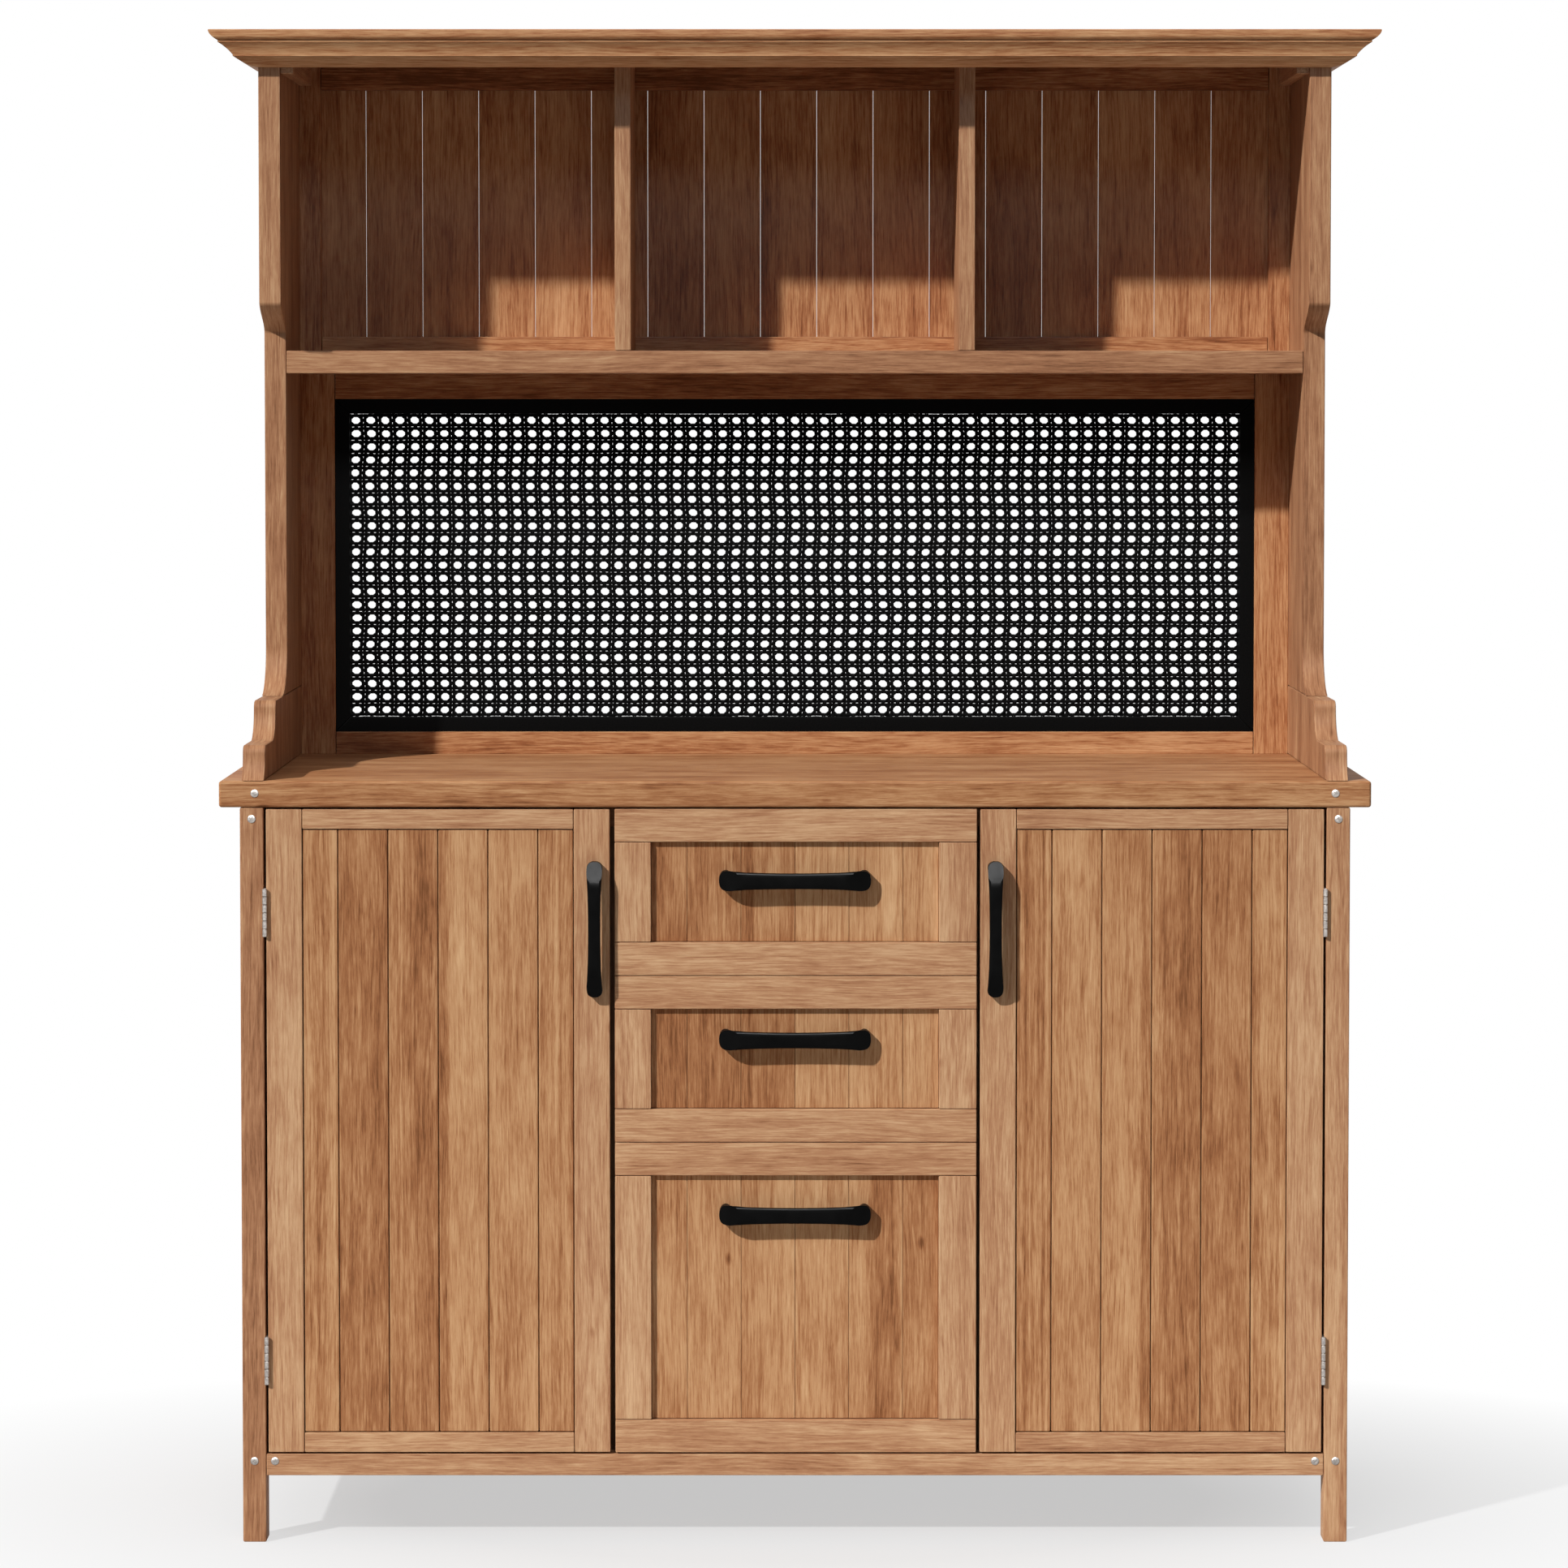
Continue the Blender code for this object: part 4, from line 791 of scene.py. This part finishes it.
def build_leaf(node, body, axis_x, toward, first):
    """Hinge leaf: plate at one side of its axis and every second knuckle from the first."""
    low, high = box_of(node)
    axis = Vector((axis_x, low.y + BARREL_RADIUS, (low.z + high.z) / 2))
    clear = BARREL_RADIUS + KNUCKLE_GAP
    near, far = sorted(axis_x + toward * reach for reach in PLATE_REACHES)
    plate_low = Vector((near, axis.y + clear, low.z))
    plate_high = Vector((far, high.y, high.z))
    solids = [rounded_box(plate_low, plate_high, PLATE_EASE, 1)]
    pitch = HINGE_LENGTH / KNUCKLES
    ends = BARREL_RADIUS - BARREL_RIM
    for index in range(first, KNUCKLES, 2):
        start = index * pitch - HINGE_LENGTH / 2 + KNUCKLE_GAP / 2
        end = start + pitch - KNUCKLE_GAP
        rims = ((BARREL_RADIUS, start + BARREL_RIM), (BARREL_RADIUS, end - BARREL_RIM))
        barrel = turned(((ends, start), *rims, (ends, end)))
        bmesh.ops.translate(barrel, vec=axis, verts=barrel.verts)
        tab_low = Vector((near, axis.y, axis.z + start))
        tab_high = Vector((far, axis.y + clear + KNUCKLE_GAP, axis.z + end))
        solids += [barrel, rounded_box(tab_low, tab_high, PLATE_EASE, 1)]
    add_object(node + "_plate", merged(solids, node + "_plate"), "zinc", body, (node,))


def build_doors():
    for side, sign in SIDES:
        body = f"{side}_door"
        build_front(body, lambda edges: door_board_looks(edges, sign), **DOOR_FRONT)
        build_handle(f"{body}_handle", body, DOOR_BAR_HEIGHT, upright=True)
        hinge = next(joint for joint in frame["joints"] if joint["name"] == f"{body}_hinge")
        hinge_x = hinge["pos_m"][0]
        for place in ("upper", "lower"):
            build_leaf(f"{side}_{place}_hinge_leg_leaf", "cabinet", hinge_x, sign, 0)
            build_leaf(f"{side}_{place}_hinge_door_leaf", body, hinge_x, -sign, 1)


# Drawers

def drawer_board_looks(edges, place):
    """Boards from the left: dark to a heartwood band, then pale; mostly pale in the deep drawer."""
    if place == "bottom":
        offset, half = DEEP_HEART
        return [{"tone": MILD}, {"tone": LIGHT}, {"tone": FAINT}, {"tone": LIGHT},
                {"tone": LIGHT, "heart": (X, edges[5] - offset, half)}, {"tone": DUSKY}]
    offset, half = DRAWER_HEART
    heart = (X, edges[2] + offset, half)
    return [{"tone": DEEP}, {"tone": DEEP}, {"tone": DUSKY, "heart": heart},
            {"tone": LIGHT, "figure": 0.4}, {"tone": LIGHT, "figure": 0.3}, {"tone": LIGHT}]


def build_drawers():
    for place in DRAWERS:
        body = f"{place}_drawer"
        build_front(body, lambda edges: drawer_board_looks(edges, place), **DRAWER_FRONT)
        build_box(f"{body}_box", body)
        build_handle(f"{body}_handle", body, DRAWER_BAR_HEIGHT, upright=False)


def build_box(node, body):
    """Open drawer box of four walls round a base."""
    lumber, low, high = start_lumber(node, node + "_boards", "inner_wood", body)
    left, right = low.x + BOX_WALL, high.x - BOX_WALL
    front, back = low.y + BOX_WALL, high.y - BOX_WALL
    for start, end in ((low.x, left), (right, high.x)):
        lumber.board((start, low.y, low.z), (end, high.y, high.z), Y)
    for start, end in ((low.y, front), (back, high.y)):
        lumber.board((left, start, low.z), (right, end, high.z), X)
    lumber.board((left, front, low.z), (right, back, low.z + BOX_BASE), X, ease=BOX_BASE_EASE)
    lumber.done()


# Hutch sides

def arc(middle, reach, sweep):
    """Arc of (y, z) points round its middle, from y toward z; reach is signed."""
    angles = [sweep * share for share in SHARES]
    return [(middle[0] + reach[0] * cos(a), middle[1] + reach[1] * sin(a)) for a in angles]


def cove_points(top, foot):
    """Hollow arc: upright at the top, sweeping forward down to the foot."""
    drop = top[1] - foot[1]
    sweep = 2 * atan2(top[0] - foot[0], drop)
    radius = drop / sin(sweep)
    return arc((top[0] - radius, top[1]), (radius, -radius), sweep)


def nose_points(front, top):
    """Rounded front corner of a step, from its front up to its top."""
    return arc((front + NOSE_RADIUS, top - NOSE_RADIUS), (-NOSE_RADIUS, NOSE_RADIUS), pi / 2)


def ogee_points(low, high):
    """S curve between two upright edges, from the lower (y, z) to the upper."""
    points = []
    for step in range(2 * CURVE_STEPS + 1):
        share = step / (2 * CURVE_STEPS)
        ease = (1 - cos(pi * share)) / 2
        points.append((low[0] + ease * (high[0] - low[0]), low[1] + share * (high[1] - low[1])))
    return points


def bracket_outline(low, high):
    """Two scalloped steps rising to the back."""
    step = low.z + LOWER_STEP_HEIGHT
    lower_nose = low.y + LOWER_STEP_NOSE
    upper_nose = low.y + UPPER_STEP_NOSE
    lower_cove = cove_points((lower_nose, step - NOSE_RADIUS), (low.y, low.z))
    upper_cove = cove_points((upper_nose, high.z - NOSE_RADIUS), (low.y + UPPER_STEP_FOOT, step))
    outline = [(high.y, low.z)] + lower_cove[::-1] + nose_points(lower_nose, step)[1:]
    outline += upper_cove[::-1] + nose_points(upper_nose, high.z)[1:]
    return outline + [(high.y, high.z)]


def upper_side_outline(low, high):
    """Flared foot, narrow waist beside the webbing and deeper head at the cubbies."""
    _, shelf_high = box_of("hutch_shelf")
    waist = low.y + WAIST
    flare = cove_points((waist, low.z + FLARE_RISE), (low.y + FLARE_FOOT, low.z))
    ogee_low = shelf_high.z + OGEE_LIFT
    ogee = ogee_points((waist, ogee_low), (low.y, ogee_low + OGEE_RISE))
    return [(high.y, low.z)] + flare[::-1] + ogee + [(low.y, high.z), (high.y, high.z)]


def way_along(outline):
    """Function for the way along an outline of (y, z) points to a place on it."""
    points = [Vector(point) for point in outline]
    starts = [0.0]
    for before, after in zip(points, points[1:]):
        starts.append(starts[-1] + (after - before).length)

    def way(y, z):
        here = Vector((y, z))
        nearest = min(range(len(points)), key=lambda index: (points[index] - here).length)
        ahead = points[min(nearest + 1, len(points) - 1)] - points[max(nearest - 1, 0)]
        return starts[nearest] + (here - points[nearest]).dot(ahead.normalized())

    return way


def build_hutch_sides():
    for side, _ in SIDES:
        for node, make in (("bracket", bracket_outline), ("hutch_side", upper_side_outline)):
            name = f"{side}_{node}"
            lumber, low, high = start_lumber(name, name + "_board", "leg_wood")
            section = make(low, high)
            outline = [(low.x, y, z) for y, z in section]
            solid = rounded_prism(outline, (high.x - low.x, 0.0, 0.0), LEG_EASE)
            lumber.add(solid, Z, tone=DUSKY, rim=way_along(section))
            lumber.done()


# Hutch shelf, dividers and backs

def build_shelf_and_backs():
    single_board("hutch_shelf", "frame_wood", X, tone=DUSKY)
    for side, _ in SIDES:
        single_board(f"{side}_divider", "frame_wood", Z)
        single_board(f"{side}_top_cleat", "leg_wood", Y)
    laps = (BACK_LAP, 0.0)
    # the cubby frame's top rail gets a much darker tone as painted shade under the crown
    build_back_frame("cubby_back_frame", "cubby_back", laps, CUBBY_STILE, CUBBY_RAILS, top_tone=PAINTED_CROWN_SHADE)
    build_planks()
    laps = (0.0, BACK_LAP)
    # the cane frame's top rail gets a darker tone as painted shade under the shelf
    build_back_frame("cane_frame", "cane", laps, CANE_STILE, CANE_RAILS, tone=PALE, top_tone=DARK)


def build_back_frame(node, name, laps, stile, rails, **tones):
    """Frame that reaches into what holds it, and behind the shelf by its laps."""
    lumber, low, high = start_lumber(node, name + "_stiles_and_rails", "back_wood")
    low -= Vector((SNUG, 0.0, SNUG + laps[0]))
    high += Vector((SNUG, 0.0, SNUG + laps[1]))
    widths = [rail + SNUG + lap for rail, lap in zip(rails, laps)]
    add_frame(lumber, low, high, stile + SNUG, widths, "stiles", **tones)
    lumber.done()


def build_planks():
    """Upright planks behind the cubbies, with thin lips at their long edges and slits between."""
    names = ("cubby_back_boards", "cubby_back_planks", "back_wood")
    lumber, low, high = start_lumber(*names, spread=CUBBY_SPREAD)
    front, lip, back = low.y, low.y + PLANK_LIP, high.y
    start = low.x
    slit = low.x + CUBBY_FIRST_SLIT
    while start < high.x:
        end = min(slit - CUBBY_SLIT / 2, high.x)
        if high.x - end < CUBBY_STILE + PLANK_LIP:
            end = high.x
        left, right = start + PLANK_REBATE, end - PLANK_REBATE
        section = [(start, front), (end, front), (end, lip), (right, lip),
                   (right, back), (left, back), (left, lip), (start, lip)]
        outline = [(x, y, low.z) for x, y in section]
        lumber.add(rounded_prism(outline, (0.0, 0.0, high.z - low.z), CUBBY_EASE), Z, tone=LIGHT)
        start = slit + CUBBY_SLIT / 2 if end < high.x else high.x
        slit += CUBBY_BOARD
    lumber.done()


def build_border():
    """Black strip round the webbing, mitred at the corners."""
    low, high = box_of("cane_border")

    def corners(grow):
        left, right, bottom, top = low.x - grow, high.x + grow, low.z - grow, high.z + grow
        return [(left, bottom), (right, bottom), (right, top), (left, top)]

    outer, inner = corners(SNUG), corners(-CANE_BORDER)
    strips = []
    for index in range(4):
        following = (index + 1) % 4
        outline = (outer[index], outer[following], inner[following], inner[index])
        points = [(x, low.y, z) for x, z in outline]
        strips.append(rounded_prism(points, (0.0, high.y - low.y, 0.0), BORDER_EASE))
    mesh = merged(strips, "cane_border_strips")
    add_object("cane_border_strips", mesh, "black_border", "cabinet", ("cane_border",))


def add_strand(bm, path, width):
    """Ribbon along (x, y, z) points, flat to the front."""
    out = Vector((0.0, STRAND_DEPTH / 2, 0.0))
    rings = []
    for index, point in enumerate(path):
        before = Vector(path[max(index - 1, 0)])
        after = Vector(path[min(index + 1, len(path) - 1)])
        direction = after - before
        side = Vector((direction.z, 0.0, -direction.x)).normalized() * width / 2
        flat = side * STRAND_FLAT
        centre = Vector(point)
        rings.append([centre - side, centre - flat - out, centre + flat - out,
                      centre + side, centre + flat + out, centre - flat + out])
    skin(bm, rings)


def build_webbing():
    """Cane weave: upright and level strands in pairs, and slanting strands between them."""
    low, high = box_of("cane_webbing")
    border_low, border_high = box_of("cane_border")
    inset = CANE_BORDER - CANE_TUCK
    x_start, x_end = border_low.x + inset, border_high.x - inset
    z_start, z_end = border_low.z + CANE_BORDER, border_high.z - CANE_BORDER
    pitch_x = (x_end - x_start) / CANE_COLUMNS
    pitch_z = (z_end - z_start) / CANE_ROWS
    y = (low.y + high.y) / 2
    chance = random.Random("cane")
    columns = range(CANE_COLUMNS + 1)
    rows = range(CANE_ROWS + 1)
    jitter = {(column, row): (chance.uniform(-1, 1) * CANE_JITTER, chance.uniform(-1, 1) * CANE_JITTER)
              for column in columns for row in rows}

    def place(column, row, lift, aside=0.0, above=0.0):
        """Point of the weave; halves lie midway between crossings, and rows sway."""
        low_key = (int(column), int(row))
        high_key = (min(int(column + 0.5), CANE_COLUMNS), min(int(row + 0.5), CANE_ROWS))
        shift_x, shift_z = ((a + b) / 2 for a, b in zip(jitter[low_key], jitter[high_key]))
        sway = CANE_SWAY * sin(2 * pi * row / CANE_SWAY_ROWS) * min(column, CANE_COLUMNS - column, 1)
        x = x_start + column * pitch_x + shift_x + sway + aside
        return x, y + lift * WEAVE_DEPTH, z_start + row * pitch_z + shift_z + above

    weave = bmesh.new()
    for column in columns:
        for hand in HANDS:
            pair = hand * PAIR_OFFSET
            path = [place(column, row, hand * (-1) ** (row + column), aside=pair) for row in rows]
            add_strand(weave, path, STRAND_WIDTH)
    for row in rows:
        for hand in HANDS:
            pair = hand * PAIR_OFFSET
            path = [place(column, row, -hand * (-1) ** (row + column), above=pair) for column in columns]
            add_strand(weave, path, STRAND_WIDTH)
    for lean in HANDS:
        for first in range(-CANE_ROWS, CANE_COLUMNS + CANE_ROWS):
            halves = [(first + 0.5 + lean * step / 2, step / 2) for step in range(2 * CANE_ROWS + 1)]
            path = [place(column, row, -lean) for column, row in halves if 0 <= column <= CANE_COLUMNS]
            if len(path) > 1:
                add_strand(weave, path, SLANT_WIDTH)
    mesh = mesh_from(weave, "cane_strands")
    add_object("cane_strands", mesh, "black_cane", "cabinet", ("cane_webbing",))


# Crown

def bowed_points(start, end, bow):
    """Shallow curve between two (reach, z) points, bow off its chord at the middle."""
    start, end = Vector(start), Vector(end)
    chord = end - start
    peak = Vector((-chord.y, chord.x)).normalized() * 4 * bow
    return [(start + chord * share + peak * share * (1 - share))[:] for share in SHARES]


def crown_profile(top, reaches, hollow):
    """Moulding section as (reach, z) points: flat top and back, fillets, cove and ovolo."""
    cove_top = top - CROWN_FILLET
    cove_foot = cove_top - COVE_DROP
    ovolo_top = cove_foot - CROWN_FILLET
    points = [(0.0, top), (reaches[0], top)]
    points += bowed_points((reaches[0], cove_top), (reaches[1], cove_foot), -hollow)
    points.append((reaches[1], ovolo_top))
    points += bowed_points((reaches[2], ovolo_top), (0.0, ovolo_top - OVOLO_DROP), OVOLO_BULGE)
    return points


def build_crown():
    """Cap board over a moulding, mitred at the front corners, that reaches less far in front."""
    lumber, low, high = start_lumber("front_crown", "front_crown_moulding", "crown_wood")
    front_y = high.y
    across = crown_profile(high.z, SIDE_REACHES, SIDE_HOLLOW)
    ahead = crown_profile(high.z, FRONT_REACHES, FRONT_HOLLOW)
    mitre = [(x, y, (z + level) / 2) for (x, z), (y, level) in zip(across, ahead)]
    end = abs(low.x) - SIDE_REACHES[0]
    rings = [[(sign * (end + x), front_y - y, z) for x, y, z in mitre] for _, sign in SIDES]
    lumber.add(loft(rings), X, tone=PALE)
    lumber.done()
    for side, sign in SIDES:
        node = f"{side}_crown"
        lumber, low, high = start_lumber(node, node + "_moulding", "crown_wood")
        inner_x = high.x if sign < 0 else low.x
        corner = [(inner_x + sign * x, front_y + SNUG - y, z) for x, y, z in mitre]
        square = [(inner_x + sign * x, high.y, z) for x, _, z in mitre]
        lumber.add(loft([corner, square]), Y, tone=PALE)
        lumber.done()
    build_cap(front_y)


def build_cap(front_y):
    """Cap board with a small rounding at its upper edge and a curved underside."""
    lumber, low, high = start_lumber("crown_cap", "crown_cap_board", "crown_wood")
    height = high.z - low.z
    shares = [step / CAP_EASE_STEPS * CAP_EASE / height for step in range(CAP_EASE_STEPS)]
    shares += [CAP_EDGE_SHARE + (1 - CAP_EDGE_SHARE) * step / CAP_STEPS for step in range(CAP_STEPS + 1)]
    rings = []
    for share in shares:
        drop = share * height
        rest = max(CAP_EASE - drop, 0.0)
        rounding = CAP_EASE - (CAP_EASE ** 2 - rest ** 2) ** 0.5
        half = high.x - rounding - CAP_ROUND * share ** CAP_CURVE
        front = front_y - CAP_FRONT + rounding + CAP_FRONT_ROUND * share ** CAP_FRONT_CURVE
        z = high.z - drop
        rings.append([(-half, front, z), (half, front, z), (half, high.y, z), (-half, high.y, z)])
    lumber.add(loft(rings), X, tone=PALE)
    lumber.done()


# Screws

def screw_mesh():
    """Domed screw head facing -Y with a cross recess."""
    profile = [(SCREW_TIP, -SCREW_SINK), (SCREW_RADIUS, -SCREW_SINK)]
    for step in range(SCREW_STEPS + 1):
        angle = pi / 2 * step / SCREW_STEPS
        profile.append((max(SCREW_RADIUS * cos(angle), SCREW_TIP), SCREW_DOME * sin(angle)))
    target = show("screw_head", mesh_from(turned(profile), "screw_head"))
    helpers = [target]
    for turn in (0.0, pi / 2):
        low = Vector((-SLOT_REACH, -SLOT_WIDTH / 2, SCREW_DOME * SLOT_FLOOR))
        high = Vector((SLOT_REACH, SLOT_WIDTH / 2, SCREW_DOME * 2))
        cutter = mesh_from(rounded_box(low, high, SLOT_EASE, 1), "slot")
        cutter.transform(Matrix.Rotation(turn, 4, "Z"))
        helpers.append(show("slot", cutter))
        cut = target.modifiers.new("slot", "BOOLEAN")
        cut.operation = "DIFFERENCE"
        cut.object = helpers[-1]
    depsgraph = bpy.context.evaluated_depsgraph_get()
    result = bpy.data.meshes.new_from_object(target.evaluated_get(depsgraph))
    for helper in helpers:
        bpy.data.objects.remove(helper, do_unlink=True)
    result.transform(Matrix.Rotation(pi / 2, 4, "X"))
    return result


def build_screws():
    """Screw heads on the counter's edge, the front legs and the bottom rail's ends."""
    counter_low, counter_high = box_of("countertop")
    leg_low, leg_high = box_of("front_right_leg")
    rail_low, rail_high = box_of("front_bottom_rail")
    leg_middle = (leg_low.x + leg_high.x) / 2
    counter_middle = (counter_low.z + counter_high.z) / 2
    rail_screw_z = (rail_low.z + rail_high.z) / 2 + RAIL_SCREW_LIFT
    shift_x, shift_z = COUNTER_SCREW_SHIFT
    places = (
        ("counter", leg_middle + shift_x, counter_low.y, counter_middle + shift_z),
        ("leg_top", leg_middle, leg_low.y, leg_high.z - LEG_SCREW_DROP),
        ("leg_bottom", leg_middle, leg_low.y, rail_screw_z),
        ("rail_end", rail_high.x - RAIL_SCREW_INSET, rail_low.y, rail_screw_z),
    )
    head = screw_mesh()
    chance = random.Random("screws")
    for side, sign in SIDES:
        for name, x, y, z in places:
            mesh = head.copy()
            mesh.transform(Matrix.Rotation(chance.uniform(0, pi / 2), 4, "Y"))
            mesh.transform(Matrix.Translation((sign * x, y, z)))
            add_object(f"{side}_{name}_screw", mesh, "zinc", "cabinet", (), SCREW_ANGLE)
    bpy.data.meshes.remove(head)


# Stage, light and camera

def white_rays(tree):
    """1 for the rays that see white surroundings: camera, glossy and transmission rays."""
    path = add_node(tree, "ShaderNodeLightPath").outputs
    seen = calc(tree, "MAXIMUM", path["Is Camera Ray"], path["Is Glossy Ray"])
    return calc(tree, "MAXIMUM", seen, path["Is Transmission Ray"])


def build_stage():
    """Round pale floor that keeps the shadow and turns white away from the cabinet."""
    bm = bmesh.new()
    bmesh.ops.create_circle(bm, cap_ends=True, segments=FLOOR_SIDES, radius=FLOOR_RADIUS)
    floor = show("floor", mesh_from(bm, "floor"))
    material, tree, shader = new_material("studio_floor")
    shader.inputs["Base Color"].default_value = FLOOR_COLOUR
    shader.inputs["Roughness"].default_value = FLOOR_ROUGHNESS
    place = add_node(tree, "ShaderNodeNewGeometry").outputs["Position"]
    flat = vector_calc(tree, "MULTIPLY", place, FLOOR_STRETCH)
    distance = add_node(tree, "ShaderNodeVectorMath", {0: flat}, operation="LENGTH").outputs["Value"]
    fade = map_range(tree, distance, *FLOOR_FADE, FLOOR_LEAST_WHITE)
    share = calc(tree, "MULTIPLY", fade, white_rays(tree))
    white = add_node(tree, "ShaderNodeEmission", {"Color": WHITE}).outputs[0]
    mix = add_node(tree, "ShaderNodeMixShader", {0: share, 1: shader.outputs[0], 2: white}).outputs[0]
    tree.links.new(mix, tree.nodes["Material Output"].inputs["Surface"])
    floor.data.materials.append(material)


def add_lamp(name, kind, energy, travel, place=(0.0, 0.0, 0.0), glossy_only=False):
    """Light that shines along travel."""
    light = bpy.data.lights.new(name, kind)
    light.energy = energy
    lamp = show(name, light)
    lamp.location = place
    lamp.rotation_euler = Vector(travel).to_track_quat("-Z", "Y").to_euler()
    if glossy_only:
        lamp.visible_camera = lamp.visible_diffuse = False
    return light


def build_light():
    """Soft sun from the upper left front, weak sky that looks white, and a card for a sheen on handles."""
    world = bpy.data.worlds.new("studio")
    world.use_nodes = True
    tree = world.node_tree
    direction = add_node(tree, "ShaderNodeTexCoord").outputs["Generated"]
    height = add_node(tree, "ShaderNodeSeparateXYZ", {"Vector": direction}).outputs["Z"]
    sky = map_range(tree, height, *ZENITH_RISE, SKY_LEVEL, ZENITH_LEVEL)
    strength = calc(tree, "MAXIMUM", sky, white_rays(tree))
    background = tree.nodes["Background"]
    background.inputs["Color"].default_value = WHITE
    tree.links.new(strength, background.inputs["Strength"])
    bpy.context.scene.world = world
    add_lamp("sun", "SUN", SUN_LEVEL, SUN_TRAVEL).angle = SUN_WIDTH
    travel = CARD_TARGET - CARD_PLACE
    card = add_lamp("top_card", "AREA", CARD_POWER, travel, CARD_PLACE, glossy_only=True)
    card.shape = "RECTANGLE"
    card.size, card.size_y = CARD_SIZE


def build_camera():
    camera = bpy.data.cameras.new("camera")
    camera.lens = CAMERA_LENS
    camera.shift_x, camera.shift_y = CAMERA_SHIFT
    eye = show("camera", camera)
    eye.location = CAMERA_PLACE
    eye.rotation_euler = (CAMERA_TILT, 0.0, 0.0)
    bpy.context.scene.camera = eye


build_base()
build_doors()
build_drawers()
build_hutch_sides()
build_shelf_and_backs()
build_border()
build_webbing()
build_crown()
build_screws()
build_stage()
build_light()
build_camera()
bpy.context.scene.view_settings.view_transform = "Standard"
